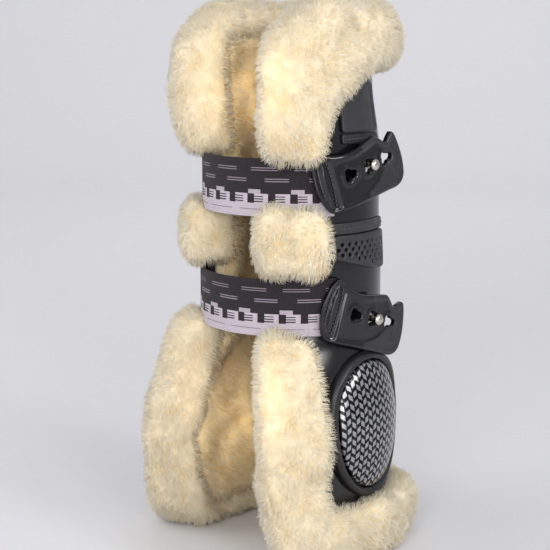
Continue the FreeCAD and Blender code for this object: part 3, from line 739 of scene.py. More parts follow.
def scatter(skin, count, random, keep):
    """Random places on a skin, even by area, and the skin's normal at each."""
    skin.calc_loop_triangles()
    tris = read(skin.loop_triangles, "vertices", np.int64)
    co = read(skin.vertices, "co") / MM
    normals = read(skin.vertex_normals, "vector")
    if keep is not None:
        tris = tris[keep(co[tris].mean(1), normals[tris].mean(1))]
    a, b, c = (co[tris[:, k]] for k in range(3))
    area = np.linalg.norm(np.cross(b - a, c - a), axis=1) / 2
    pick = random.choice(len(tris), count, p=area / area.sum())
    u, v = random.random((2, count))
    swap = u + v > 1
    u[swap], v[swap] = 1 - u[swap], 1 - v[swap]
    w = 1 - u - v
    root = a[pick] * w[:, None] + b[pick] * u[:, None] + c[pick] * v[:, None]
    normal = (normals[tris[pick]] * np.stack([w, u, v], -1)[..., None]).sum(1)
    normal /= np.maximum(np.linalg.norm(normal, axis=1, keepdims=True), 1e-9)
    return root, normal


def combed(root, normal, seed, random):
    """The way each fibre points: out of the skin, combed in swirls, and hanging a little."""
    comb = np.stack([waves(root, 30, seed + 10 + k) for k in range(3)], -1) * 0.30
    comb[:, 2] -= SAG
    comb += random.normal(size=root.shape) * 0.16
    way = normal + comb
    return way / np.linalg.norm(way, axis=1, keepdims=True)


def gathered(root, tip, random):
    """Each fibre's tip, drawn towards the tip of the nearest lock's leader."""
    locks = max(1, len(root) // FIBRES_IN_LOCK)
    tree = kdtree.KDTree(locks)
    for i in range(locks):
        tree.insert(root[i], i)
    tree.balance()
    leader = np.array([tree.find(p)[1] for p in root])
    return tip + (tip[leader] - tip) * (GATHER * random.uniform(0.5, 1.0, len(root)))[:, None]


print("fibres in a lock", FIBRES_IN_LOCK)

# %% [markdown]
# ## Fibres as meshes
# Blender's own hair isn't a mesh, and this boot has to leave Blender as meshes. So each fibre
# is a thin spike with three sides and one bend: the fewest faces that still look round. Their
# shading normals lean towards the skin's normal, so that the pile catches light as one soft
# surface and not as thousands of shiny needles.

# %% Grow a pile
ROOT_DEPTH = 0.6
BEND_WIDTH = 0.72
SOFTNESS = 0.35
LEAST_HEIGHT = 0.05
SHADE_STEPS = [-0.3, 0.5, 1.1]


def spikes(root, bend, tip, normal, way, width, random):
    """Corner points and soft shading normals of bent three-sided spikes, seven points each."""
    count = len(root)
    side = np.cross(way, random.normal(size=(count, 3)))
    side /= np.maximum(np.linalg.norm(side, axis=1, keepdims=True), 1e-9)
    other = np.cross(way, side)
    thick = width * random.uniform(0.75, 1.25, count)
    points = np.empty((count, 7, 3))
    soft = np.empty((count, 7, 3))
    for k in range(3):
        angle = 2 * math.pi * k / 3
        ring = side * math.cos(angle) + other * math.sin(angle)
        points[:, k] = root - normal * ROOT_DEPTH + ring * thick[:, None]
        points[:, 3 + k] = bend + ring * (thick * BEND_WIDTH)[:, None]
        soft[:, k] = soft[:, 3 + k] = normal + ring * SOFTNESS
    points[:, 6] = tip
    points[..., 2] = np.maximum(points[..., 2], LEAST_HEIGHT)
    soft[:, 6] = normal
    soft /= np.linalg.norm(soft, axis=-1, keepdims=True)
    return points, soft


def spike_mesh(name, points):
    """One mesh of all the spikes. Each has three sides, three tip faces and a closed root."""
    count = len(points)
    quads = np.array([(0, 1, 4, 3), (1, 2, 5, 4), (2, 0, 3, 5)])
    threes = np.array([(3, 4, 6), (4, 5, 6), (5, 3, 6), (0, 2, 1)])
    shift = (np.arange(count) * 7)[:, None, None]
    corners = [(shift + quads).reshape(count, -1), (shift + threes).reshape(count, -1)]
    loops = np.concatenate(corners, 1).ravel()
    sizes = np.tile([4] * len(quads) + [3] * len(threes), count)
    mesh = bpy.data.meshes.new(name)
    mesh.vertices.add(count * 7)
    mesh.vertices.foreach_set("co", (points * MM).ravel())
    mesh.loops.add(len(loops))
    mesh.loops.foreach_set("vertex_index", loops.astype(np.int32))
    mesh.polygons.add(len(sizes))
    starts = np.concatenate([[0], np.cumsum(sizes)[:-1]])
    mesh.polygons.foreach_set("loop_start", starts.astype(np.int32))
    mesh.update(calc_edges=True)
    return mesh


def grow(name, skin, count, length, width, seed, shades=FIBRES, keep=None):
    """Pile on a skin: bent spikes gathered into locks, in patches of four shades."""
    random = np.random.default_rng(seed)
    root, normal = scatter(skin, count, random, keep)
    way = combed(root, normal, seed, random)
    reach = length * random.uniform(0.65, 1.2, count) * (1 + 0.18 * waves(root, 16, seed + 20))
    tip = gathered(root, root + way * reach[:, None], random)
    bend = root + normal * (reach * 0.5)[:, None] + (tip - root) * 0.12
    points, soft = spikes(root, bend, tip, normal, way, width, random)
    mesh = spike_mesh(name, points)
    shade = waves(root, 14, seed + 30) * 0.7 + random.normal(size=count) * 0.8
    finish_mesh(mesh, shades, np.repeat(np.digitize(shade, SHADE_STEPS), 7))
    mesh.normals_split_custom_set_from_vertices(soft.reshape(-1, 3))
    return mesh


print("faces in a spike", 7)

# %% [markdown]
# ## The rolls
# The sheepskin is turned out over the shell's edge, which cushions the rim where a leg would
# rub. Four rolls are made: the collar at the top, two lobes between the straps, and the long
# lobes at the fetlock with the roll under the bottom. Their ends swell up to the straps and
# over their edges. A large roll's pile is split in parts, to keep each mesh a handy size.

# %% Rolled sheepskin
ROLL_VOXEL, ROLL_ROUNDS = 2.2, 60
PILE_LENGTH = 4.6
FIBRE_RADIUS, LINING_FIBRE_RADIUS = 0.19, 0.22
AREA_PER_SPIKE = 0.9
MOST_SPIKES = 19500
ROLLS = {
    # node: number of pile meshes, and how far its ends bulge over the straps, as heights: pushes
    "upper_fleece_roll": (3, ([UPPER_HIGH, UPPER_HIGH + 30], [-9, 0])),
    "lower_fleece_roll": (4, ([LOWER_LOW - 34, LOWER_LOW], [0, 9])),
    "middle_fleece_roll_right": (1, ([LOWER_HIGH, UPPER_LOW], [-5.5, 6.5])),
    "middle_fleece_roll_left": (1, ([LOWER_HIGH, UPPER_LOW], [-5.5, 6.5])),
}
for number, (node, (parts, push)) in enumerate(ROLLS.items()):
    skin = relaxed(node + "_wool", node, ROLL_VOXEL, ROLL_ROUNDS, 40 + number,
                   lambda z: np.interp(z, *push))
    finish_mesh(skin, [fleece_skin])
    base = place(node + "_wool", skin, "shell", (node,))
    skin_area = sum(p.area for p in skin.polygons) / MM ** 2
    count = int(min(skin_area / AREA_PER_SPIKE / parts, MOST_SPIKES))
    for part in range(parts):
        word = "%s_pile_%d" % (node, part + 1)
        pile = grow(word, skin, count, PILE_LENGTH, FIBRE_RADIUS, 100 + 10 * number + part)
        place(word, pile, "shell")
    print(node, round(skin_area / 100), "square centimetres,", count * parts, "spikes")

# %% [markdown]
# ## The lining
# The lining is the same sheepskin, flat against the leg. Only the side that faces the leg or
# the front opening needs pile, because the rest is bonded to the foam. Its skin and fibres are
# painted warmer and brighter than the outer wool, a painted glow for the light that bounces
# between the fibres inside the boot.

# %% Sheepskin lining
LINING_SPIKES = 19000
# The lining is thin, so it is relaxed far less than the rolls, or it would shrink away.
LINING_VOXEL, LINING_ROUNDS = 3.5, 6
lining = relaxed("fleece_lining_wool", "fleece_lining", LINING_VOXEL, LINING_ROUNDS, 60)
finish_mesh(lining, [lining_skin])
place("fleece_lining_wool", lining, "shell", ("fleece_lining",))


def faces_in(middle, normal):
    """True where the lining faces the leg or the front opening."""
    away = middle[:, :2] - [0, LEG_Y]
    away /= np.maximum(np.linalg.norm(away, axis=1, keepdims=True), 1e-9)
    return (normal[:, :2] * away).sum(1) < 0.4


for part in range(2):
    word = "fleece_lining_pile_%d" % (part + 1)
    pile = grow(word, lining, LINING_SPIKES, PILE_LENGTH, LINING_FIBRE_RADIUS, 160 + part, GLOW_PAINTED_FIBRES,
                faces_in)
    place(word, pile, "shell")
print("lining spikes", 2 * LINING_SPIKES)

# %% [markdown]
# ## The shell
# The shell is one injection moulding, an even wall nearly 3 mm thick, with thinner lips at its front
# edges. It is a ribbon of level sections that runs round the back. The design gives the angle
# at which it opens in front at each height. Its two ends are capped with small faces.

# %% Shell
SHELL_STEPS = 150
SHELL_LEVELS = 120
SHELL_INSIDE = 2.9


def shell_sheet():
    """The shell's wall as level rings: the outside one way, then the inside back again."""
    low, high = (v.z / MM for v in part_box("outer_shell"))
    heights = np.linspace(low + 0.5, high - 0.5, SHELL_LEVELS)
    open_angle = np.interp(heights, [60, 108, LOWER_MID, UPPER_MID - 20, UPPER_MID + 14],
                           [64, 50, 36, 34.5, 45])
    radius, length = section(heights)
    reach = radius * math.pi / 2 + length + radius * np.radians(90 - open_angle)
    outer, inner = [], []
    for share in np.linspace(-1, 1, SHELL_STEPS):
        lip = 0.7 * max(0.0, (abs(share) - 0.99) / 0.01)
        outer.append(around(share * reach, heights, -0.05 - lip))
        inner.append(around(share * reach, heights, -SHELL_INSIDE + lip))
    loop = np.concatenate([np.stack(outer), np.stack(inner)[::-1]])
    return np.swapaxes(loop, 0, 1)


points, faces = grid_piece(shell_sheet())
# The two flat caps of the ribbon are crescents, so they are made again as strips of small faces.
faces = [f for f in faces if len(f) == 4]
ring = 2 * SHELL_STEPS
for row in (0, SHELL_LEVELS - 1):
    for j in range(SHELL_STEPS - 1):
        a, b = row * ring + j, row * ring + j + 1
        c, d = row * ring + ring - 2 - j, row * ring + ring - 1 - j
        faces.append((a, d, c, b) if row == 0 else (a, b, c, d))
piece("outer_shell_moulding", points, faces, [shell_gloss], "shell", ("outer_shell",))
print("shell faces", len(faces))

# %% [markdown]
# ## Mouldings and stitches
# Every panel on the boot is a plate with a rounded lip, wrapped on the shell, with some relief
# on its face. Trims are sewn on. A stitch shows as a short fat bead that dips into the sheet
# at both ends, so each one is a small closed capsule, at the pitch of a heavy sewing machine.

# %% Moulding and stitch helpers
def side_wrap(side):
    """A wrap for plates drawn in a side view."""
    return lambda u, v, w: beside(u, v, w, side)


def moulding(name, outline, holes, spacing, height, lip, base, wrap, materials, body,
             replaces=(), detail=None, shade=None):
    """A plate with a rounded lip and optional relief, placed as a piece."""
    def top(u, v, gap):
        """The height of the face, with its lip and relief."""
        relief = detail(u, v, gap) if detail else 0.0
        return height - soft_edge(gap, lip) + relief
    points, faces, flat = plate(outline, holes, spacing, top, base, wrap)
    indices = None
    if shade:
        indices = [shade(*np.mean([flat[i] for i in f], axis=0)) if max(f) < len(flat) else 0
                   for f in faces]
    return piece(name, points, faces, materials, body, replaces, indices)


def stitches(name, path, wrap, out, body, pitch=2.6, long=1.7, thick=0.38):
    """A row of thread stitches along a path, each a small closed capsule."""
    path = np.asarray(path, float)
    run = np.concatenate([[0], np.cumsum(np.linalg.norm(np.diff(path, axis=0), axis=1))])
    # Each ring of a capsule: its place along the stitch, its size, and how high it stands.
    rings_of_one = ((-1, 0.35, -0.25), (-0.75, 0.85, 0.05), (0, 1, 0.25), (0.75, 0.85, 0.05),
                    (1, 0.35, -0.25))
    verts, faces = [], []
    for at in np.arange(pitch / 2, run[-1], pitch):
        rings = []
        for t, size, lift in rings_of_one:
            u, v = (np.interp(at + t * long / 2, run, path[:, k]) for k in (0, 1))
            ahead = np.array([np.interp(at + 0.1, run, path[:, k]) - np.interp(at - 0.1, run, path[:, k])
                              for k in (0, 1)])
            ahead /= max(np.linalg.norm(ahead), 1e-9)
            for k in range(6):
                angle = math.pi * k / 3
                across = math.cos(angle) * thick * size
                rings.append((u - ahead[1] * across, v + ahead[0] * across,
                              out + lift + math.sin(angle) * thick * size))
        rings = np.array(rings)
        base = len(verts)
        verts += wrap(rings[:, 0], rings[:, 1], rings[:, 2]).tolist()
        for i in range(4):
            low = base + i * 6
            for k in range(6):
                j = (k + 1) % 6
                faces.append((low + k, low + j, low + 6 + j, low + 6 + k))
        faces.append(tuple(base + k for k in range(6))[::-1])
        faces.append(tuple(base + 24 + k for k in range(6)))
    return piece(name, verts, faces, [thread], body)


print("stitches in a 30 mm row", len(np.arange(1.3, 30, 2.6)))

# %% [markdown]
# ## Side panels
# Each side carries a badge panel, left blank here, and a vent panel whose small holes let
# sweat dry. A stitched trim finishes each of them. The outlines are drawn in a side view, in
# millimetres. Both sides use the same drawing, as both halves of a real boot use one mould.

# %% Outlines of the side panels
PANEL_BASE = 0.15
TRIM_THREAD_OUT = 1.65
BADGE = rounded([(-12, 241), (20, 241), (17.5, 268), (-2.5, 268), (-12, 260)], 2.5)
VENT = [(-18, 172), (16, 163.2), (27, 163.2), (27, 185), (-18, 185)]
TRIMS = {
    # name: corners, the ends of its stitch line, and its finish
    "badge": ([(-12, 234.8), (20, 234.8), (20, 240.3), (-12, 240.3)], [(-11, 237.5), (19, 237.5)],
              panel_dark),
    "vent": ([(-18, 185.5), (27, 185.5), (27, 191.8), (-18, 191.8)], [(-17, 188.6), (26, 188.6)],
             panel_satin),
}


def vent_holes():
    """Rows of small round holes, every other row shifted, kept inside the panel's border."""
    border = even(rounded(VENT, 3), 1.0)
    centres = []
    for row in range(9):
        for column in range(14):
            centres.append((-22 + column * 4.8 + (row % 2) * 2.4, 162.4 + row * 2.9))
    centres = np.array(centres)
    keep = inside(centres, border) & (edge_distance(centres, [border]) > 2.6)
    turn = np.linspace(0, 2 * math.pi, 8, endpoint=False)
    ring = np.stack([np.cos(turn), np.sin(turn)], -1) * 1.05
    return [centre + ring for centre in centres[keep]]


def badge_relief(u, v, gap):
    """A shallow flat recess inside the badge panel's border."""
    return -0.55 * np.clip((gap - 2.2) / 0.8, 0, 1)


print("vent holes on a side", len(vent_holes()))

# %% Panels and trims on both sides
for word, side in (("right", 1), ("left", -1)):
    wrap = side_wrap(side)
    moulding("badge_panel_%s_moulding" % word, BADGE, [], spacing=1.0, height=2.2, lip=0.9,
             base=PANEL_BASE, wrap=wrap, materials=[panel_satin], body="shell",
             replaces=("badge_panel_" + word,), detail=badge_relief)
    moulding("vent_panel_%s_moulding" % word, rounded(VENT, 3), vent_holes(), spacing=1.0, height=2.2,
             lip=0.8, base=PANEL_BASE, wrap=wrap, materials=[panel_satin], body="shell",
             replaces=("vent_panel_" + word,))
    for panel, (corners, line, finish) in TRIMS.items():
        moulding("%s_trim_%s_band" % (panel, word), rounded(corners, 1.2), [], spacing=1.0, height=1.6,
                 lip=0.7, base=PANEL_BASE, wrap=wrap, materials=[finish], body="shell",
                 replaces=("%s_trim_%s" % (panel, word),))
        stitches("%s_trim_%s_stitches" % (panel, word), line, wrap, TRIM_THREAD_OUT, "shell")
    print("panels and trims on the", word)

# %% [markdown]
# ## Spine guard
# A thick raised moulding protects the tendons up the back of the leg. It is drawn flat, round
# the middle of the back, with a groove along each side where the mould narrows and low bars
# across it for stiffness.

# %% Spine guard
SPINE = spline([(-13, 46), (0, 41), (13, 46), (13.4, 110), (12.6, 180), (12.4, 238), (6, 268), (0, 272),
                (-6, 268), (-12.4, 238), (-12.6, 180), (-13.4, 110)], 14)
BAR_PITCH = 9.0


def spine_relief(u, v, gap):
    """Two long grooves, a soft middle ridge and low bars across."""
    groove = -1.1 * np.exp(-((np.abs(u) - 7.2) / 1.1) ** 2)
    ridge = 0.5 * np.exp(-(u / 3.0) ** 2)
    bars = 0.35 * (np.sin(v * 2 * math.pi / BAR_PITCH) > 0.2) * (np.abs(u) < 5.5)
    return (groove + ridge - 0.5 + bars) * np.clip(gap / 3, 0, 1)


moulding("spine_guard_moulding", SPINE, [], spacing=1.2, height=4.4, lip=2.2, base=PANEL_BASE,
         wrap=around, materials=[shell_gloss], body="shell",
         replaces=("spine_guard",), detail=spine_relief)
print("spine guard", round(np.ptp(SPINE[:, 1])), "mm tall")

# %% [markdown]
# ## Carbon twill
# The other hoof strikes the fetlock, so a hard dome covers it on each side. Its face is carbon
# fibre: flat tows, or bundles, woven over and under each other and sealed in clear lacquer.
# Where a tow lies on top it mirrors the light, and where it dives under it goes black. The
# weave is worked out from each point's place: which column it is in, how far across it, and
# how far up a slanted block. Neighbouring columns lean opposite ways, which makes arrowheads.

# %% Lacquered carbon twill
TOW_WIDTH, BLOCK_HEIGHT = 0.0029, 0.0050


def carbon_twill():
    """Carbon tows in slanted blocks, column against column, under clear lacquer."""
    made, tree, shader = material("lacquered_carbon_twill")
    where = add(tree, "ShaderNodeTexCoord")
    split = add(tree, "ShaderNodeSeparateXYZ", None, {"Vector": where.outputs["Object"]})
    values = {"y": split.outputs["Y"], "z": split.outputs["Z"]}
    # Each step: its result, the sum it does, and what it does it with.
    steps = [
        ("across", "DIVIDE", "y", TOW_WIDTH),
        ("column", "FLOOR", "across", 0.0),
        ("in_column", "SUBTRACT", "across", "column"),
        ("odd", "FLOORED_MODULO", "column", 2.0),
        ("twice", "MULTIPLY", "odd", 2.0),
        ("lean", "SUBTRACT", "twice", 1.0),
        ("leaning", "MULTIPLY", "in_column", "lean"),
        ("slant", "MULTIPLY", "leaning", 0.4),
        ("up", "DIVIDE", "z", BLOCK_HEIGHT),
        ("slanted", "ADD", "up", "slant"),
        ("in_block", "FLOORED_MODULO", "slanted", 1.0),
        ("on_top", "LESS_THAN", "in_block", 0.56),
        ("from_middle", "SUBTRACT", "in_column", 0.5),
        ("distance", "ABSOLUTE", "from_middle", 0.0),
        ("in_tow", "LESS_THAN", "distance", 0.37),
        ("lit", "MULTIPLY", "on_top", "in_tow"),
    ]
    for result, kind, first, second in steps:
        inputs = {0: values.get(first, first), 1: values.get(second, second)}
        values[result] = add(tree, "ShaderNodeMath", {"operation": kind}, inputs).outputs[0]
    tint = add(tree, "ShaderNodeMix", {"data_type": "RGBA"},
               {0: values["lit"], 6: linear("0E0E10"), 7: linear("A6A6AB")})
    tree.links.new(tint.outputs[2], shader.inputs["Base Color"])
    # Carbon under lacquer is neither metal nor plastic: it mirrors light, but in its own grey.
    shader.inputs["Metallic"].default_value = 0.8
    shader.inputs["Roughness"].default_value = 0.3
    shader.inputs["Coat Weight"].default_value = 0.4
    shader.inputs["Coat Roughness"].default_value = 0.05
    return made


twill = carbon_twill()
print("tow width", TOW_WIDTH / MM, "mm")

# %% [markdown]
# ## Strike domes and their rims
# A dome is an egg-shaped plate that rises towards its middle, and its rim is a ring of softer
# rubber that the dome is clipped into. Both are drawn as ovals in a side view, and the rim is
# the same kind of plate with the dome's outline as its hole.

# %% Domes and rims
DOME_Y = 4.0
FACE_HALF = (27.0, 36.5)
RIM_HALF = (34.0, 42.0)
RIM_HOLE = (27.3, 36.8)


def oval(half_width, half_height):
    """An egg-shaped outline round the dome's middle, a little narrower at the bottom."""
    turn = np.linspace(0, 2 * math.pi, 72, endpoint=False)
    u = np.cos(turn) * half_width
    v = np.sin(turn) * half_height
    return np.stack([DOME_Y + u * (1 + 0.10 * v / half_height), DOME_Z + v], -1)


def dome_bulge(u, v, gap):
    """The dome's rise of 6 mm from its edge to its middle."""
    rise = 1 - ((u - DOME_Y) / FACE_HALF[0]) ** 2 - ((v - DOME_Z) / FACE_HALF[1]) ** 2
    return 6.0 * np.clip(rise, 0, 1) ** 0.7


def rim_roll(u, v, gap):
    """The rim's rounded back, highest 3 mm in from its edges."""
    return 1.6 * np.sin(np.clip(gap / 3.0, 0, 1) * math.pi / 2)


for word, side in (("right", 1), ("left", -1)):
    wrap = side_wrap(side)
    moulding("strike_dome_%s_face" % word, oval(*FACE_HALF), [], spacing=1.0, height=3.2, lip=1.0,
             base=PANEL_BASE, wrap=wrap, materials=[twill], body="shell",
             replaces=("strike_dome_" + word,), detail=dome_bulge)
    moulding("dome_rim_%s_moulding" % word, oval(*RIM_HALF), [oval(*RIM_HOLE)], spacing=1.0,
             height=3.0, lip=1.6, base=PANEL_BASE, wrap=wrap, materials=[rim_rubber], body="shell",
             replaces=("dome_rim_" + word,), detail=rim_roll)
    print("dome on the", word, [2 * v for v in FACE_HALF], "mm")

# %% [markdown]
# ## Woven elastic
# The straps are woven elastic, 32 mm wide: rubber threads run along them, covered in polyester
# that makes about 29 fine ribs. The upper part is woven dark and the lower part pale lilac,
# with short dashes where pale yarn is brought to the face. The pattern is drawn in millimetres
# along and across the band, from its UV map, so it follows the band's own mesh.

# %% Strap material
DARK_YARN, PALE_YARN = "20161D", "CDC2CC"
TWO_TONE_LINE = -3.2
PATTERN = [
    # lower and upper line, repeat along the band, share that is woven, start, and yarn colour
    (10.6, 11.1, 23.0, 0.62, 3.0, "9C8E9A"),
    (9.3, 9.8, 23.0, 0.62, 3.0, "9C8E9A"),
    (4.6, 5.1, 23.0, 0.55, 9.0, "9C8E9A"),
    (3.3, 3.8, 23.0, 0.55, 9.0, "9C8E9A"),
    (-3.3, -0.9, 23.0, 0.30, 17.0, "BDB1BC"),
    (-8.4, -3.2, 11.5, 0.34, 2.0, "20151D"),
    (-5.0, -4.4, 11.5, 0.45, 7.0, "20151D"),
    (-6.4, -5.8, 11.5, 0.45, 7.0, "20151D"),
    (-7.8, -7.2, 11.5, 0.45, 7.0, "20151D"),
    (-11.9, -11.5, 23.0, 0.8, 0.0, "8E8290"),
]


def woven_elastic(name):
    """Two-tone elastic. Covered yarn is matt, with a slight sheen from its loose fibres."""
    made, tree, shader = material(name)
    where = add(tree, "ShaderNodeUVMap", {"uv_map": "weave"})
    split = add(tree, "ShaderNodeSeparateXYZ", None, {"Vector": where.outputs["UV"]})
    along, up = split.outputs["X"], split.outputs["Y"]
    low = add(tree, "ShaderNodeMath", {"operation": "LESS_THAN"}, {0: up, 1: TWO_TONE_LINE})
    colour = add(tree, "ShaderNodeMix", {"data_type": "RGBA"},
                 {0: low.outputs[0], 6: linear(DARK_YARN), 7: linear(PALE_YARN)}).outputs[2]
    for bottom, top, period, share, start, code in PATTERN:
        above = add(tree, "ShaderNodeMath", {"operation": "GREATER_THAN"}, {0: up, 1: bottom})
        below = add(tree, "ShaderNodeMath", {"operation": "LESS_THAN"}, {0: up, 1: top})
        row = add(tree, "ShaderNodeMath", {"operation": "MULTIPLY"},
                  {0: above.outputs[0], 1: below.outputs[0]})
        shifted = add(tree, "ShaderNodeMath", {"operation": "ADD"}, {0: along, 1: start})
        wrapped = add(tree, "ShaderNodeMath", {"operation": "FLOORED_MODULO"},
                      {0: shifted.outputs[0], 1: period})
        dash = add(tree, "ShaderNodeMath", {"operation": "LESS_THAN"},
                   {0: wrapped.outputs[0], 1: period * share})
        both = add(tree, "ShaderNodeMath", {"operation": "MULTIPLY"},
                   {0: row.outputs[0], 1: dash.outputs[0]})
        colour = add(tree, "ShaderNodeMix", {"data_type": "RGBA"},
                     {0: both.outputs[0], 6: colour, 7: linear(code)}).outputs[2]
    yarn = add(tree, "ShaderNodeTexNoise", None,
               {"Vector": where.outputs["UV"], "Scale": 1.6, "Detail": 3.0})
    worn = add(tree, "ShaderNodeMix", {"data_type": "RGBA", "blend_type": "MULTIPLY"},
               {0: 0.35, 6: colour, 7: yarn.outputs["Color"]})
    tree.links.new(worn.outputs[2], shader.inputs["Base Color"])
    knit = add(tree, "ShaderNodeTexWave", {"wave_type": "BANDS", "bands_direction": "X"},
               {"Vector": where.outputs["UV"], "Scale": 0.42, "Distortion": 1.0})
    bump = add(tree, "ShaderNodeBump", None,
               {"Height": knit.outputs["Fac"], "Strength": 0.5, "Distance": 0.0002})
    tree.links.new(bump.outputs["Normal"], shader.inputs["Normal"])
    shader.inputs["Roughness"].default_value = 0.8
    shader.inputs["Sheen Weight"].default_value = 0.04
    return made


print("lines in the weave", len(PATTERN))

# %% [markdown]
# ## The strap's form
# A strap is a ribbon with real ribs, since the light that rakes across them is what shows that
# the band is woven. Its outer face has four points to each rib, while the hidden inner face
# needs only a few. Each point also keeps its place in millimetres for the pattern.

# %% Ribbed band
RIBS = 29
RIB_HEIGHT = 0.16


def strap_mesh(name, start, end, mid, elastic, count, shift=0.0):
    """A ribbed band between two distances round the boot, mapped in millimetres for its weave."""
    v = np.linspace(-STRAP_WIDTH / 2, STRAP_WIDTH / 2, RIBS * 4 + 1)
    rib = RIB_HEIGHT * np.cos(v / STRAP_WIDTH * RIBS * 2 * math.pi)
    lip = np.clip((np.abs(v) - STRAP_WIDTH / 2 + 0.9) / 0.9, 0, 1) ** 2 * 0.8
    along = np.linspace(start, end, count)
    outer = np.stack([around(d, mid + v, 2.75 + rib - lip) for d in along])
    inner = np.stack([around(d, mid + v[::8], 0.7) for d in along])[:, ::-1]
    rows = np.concatenate([outer, inner], 1)
    points, faces = grid_piece(rows)
    made = bpy.data.meshes.new(name)
    made.from_pydata(points * MM, [], faces)
    across = np.concatenate([v, v[::8][::-1]])
    layer = made.uv_layers.new(name="weave")
    index = np.empty(len(made.loops), np.int32)
    made.loops.foreach_get("vertex_index", index)
    columns = rows.shape[1]
    uv = np.stack([along[index // columns] + shift, across[index % columns]], -1)
    layer.data.foreach_set("uv", uv.ravel())
    finish_mesh(made, [elastic])
    return made


def meeting(strap):
    """Distances round the boot to the strap's swing line and to its tab's front edge."""
    swing = next(j for j in frame["joints"] if j["name"] == strap + "_strap_swing")
    peel = next(j for j in frame["joints"] if j["name"] == strap + "_tab_peel")
    found = []
    for joint in (swing, peel):
        x, y = joint["pos_m"][0] / MM, joint["pos_m"][1] / MM - LEG_Y
        radius, length = section(UPPER_MID if strap == "upper" else LOWER_MID)
        angle = math.atan2(abs(x), -(y + length))
        found.append(math.copysign(radius * math.pi / 2 + length + radius * (math.pi / 2 - angle), x))
    return found


print("the upper strap leaves the shell", round(abs(meeting("upper")[0])), "mm from the back")

# %% [markdown]
# ## Straps in place
# Each strap is sewn to the shell on the inner side, crosses the front and ends in its tab.
# The long band runs from its sewn end round the front to the tab, and a short end lies
# inside the tab. Both are placed on no body, with their places baked into their points.

# %% Strap bands and their ends in the tabs
for strap, mid in (("upper", UPPER_MID), ("lower", LOWER_MID)):
    elastic = woven_elastic("woven_elastic_" + strap)
    leave, front = meeting(strap)
    radius, length = section(mid)
    whole = 2 * math.pi * radius + 2 * length
    start = -(radius * math.pi / 2 - 18)
    made = strap_mesh(strap + "_strap", start, front + 3 - whole, mid, elastic, 220)
    band = place(strap + "_strap_elastic", made, None,
                 (strap + "_strap_anchor", strap + "_strap_band"))
    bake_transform(band)
    made = strap_mesh(strap + "_tuck", front + 3, front - 15, mid, elastic, 37, -whole)
    tuck = place(strap + "_strap_tuck", made, None, (strap + "_strap_end",))
    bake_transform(tuck)
    print(strap, "strap from", round(start), "to", round(front - whole), "mm round the boot")

# %% [markdown]
# ## Tab outline and keyholes
# Each tab is one TPU moulding sewn on the elastic. A tab is pulled past its stud and let go,
# and the stud's neck slides into the narrow end of a keyhole. Three keyholes give three fits.
# Each is a trefoil, two lobes to let the stud's head in and one that holds its neck. All the
# outlines are smooth curves through points in millimetres, measured from the middle keyhole.

# %% Tab outline, window and keyholes
TAB = spline([(-27.5, 17.6), (-21, 13.6), (-11, 12), (-1, 13), (9, 14.6), (13, 12.5), (17.5, 8.6), (21, 11),
              (24.2, 12.6), (26.5, 9), (28.5, 0), (29, -8), (27.5, -15), (22, -18.6), (10, -18.4),
              (-8, -18), (-26, -17.4), (-30.3, -14), (-33.2, -6), (-33.9, 2), (-32.6, 11), (-30.3, 16)], 8)
WINDOW = spline([(-20, 8.5), (-8, 8.8), (4, 10.5), (10, 11), (14.4, 6.5), (15.2, 0), (12, -6.5), (4, -12.3),
                 (-8, -15), (-19, -14.6), (-20.6, -4)], 8)
HOLE_PITCH = 14.2
SEAT = 4.6


def keyhole(centre):
    """A trefoil: two lobes where the stud head enters and one where its neck seats."""
    outline = [(-2.8, 1.6), (-1.6, 3.9), (0.9, 4.0), (2.4, 2.5), (4.6, 2.3), (6.6, 1.3), (7.0, 0),
               (6.6, -1.3), (4.6, -2.3), (2.4, -2.5), (0.9, -4.0), (-1.6, -3.9), (-2.8, -1.6), (-2.2, 0)]
    return spline([(centre + SEAT + (u - SEAT) * 0.8, v * 0.82) for u, v in outline], 5)


print("tab", np.ptp(TAB, axis=0).round(), "mm")

# %% [markdown]
# ## Where a tab lies
# A tab follows the strap's surface but is tilted on it, up on the upper strap and down on the
# lower one. It lies flat along the straight side of the section and then bends round the front
# with it. The wrap does both.

# %% Tab wrap
TAB_IN = 3.7


def tab_place(strap):
    """A wrap for plates drawn on the tab's own face."""
    mid, y0, rise, tilt = {
        "upper": (UPPER_MID, 1.2, 10.0, math.radians(16)),
        "lower": (LOWER_MID, 4.4, -8.7, math.radians(-16)),
    }[strap]
    radius, length = section(mid)

    def wrap(u, v, w):
        """The flat point tilted, then laid along the side and round the front."""
        y = y0 + u * math.cos(tilt) - v * math.sin(tilt)
        z = mid + rise + u * math.sin(tilt) + v * math.cos(tilt)
        out = radius + TAB_IN + w
        bend = np.clip(-length - y, 0, None) / (radius + TAB_IN)
        x = out * np.cos(bend)
        y = np.where(bend > 0, -length - out * np.sin(bend), y)
        return np.stack([x, y + LEG_Y, z], -1)
    return wrap


print("upper tab's middle keyhole", tab_place("upper")(0.0, 0.0, 0.0).round(1), "mm")

# %% [markdown]
# ## Tab relief
# The tab's face isn't flat: a low rim runs round it, a channel with two rows of stitches holds
# a lens-shaped bar in front, a polished window is sunk round the keyholes, and three ribs give
# a grip behind. Each is a small sum of the point's place, so one function gives the height
# everywhere, and the window and the grip can have different finishes.

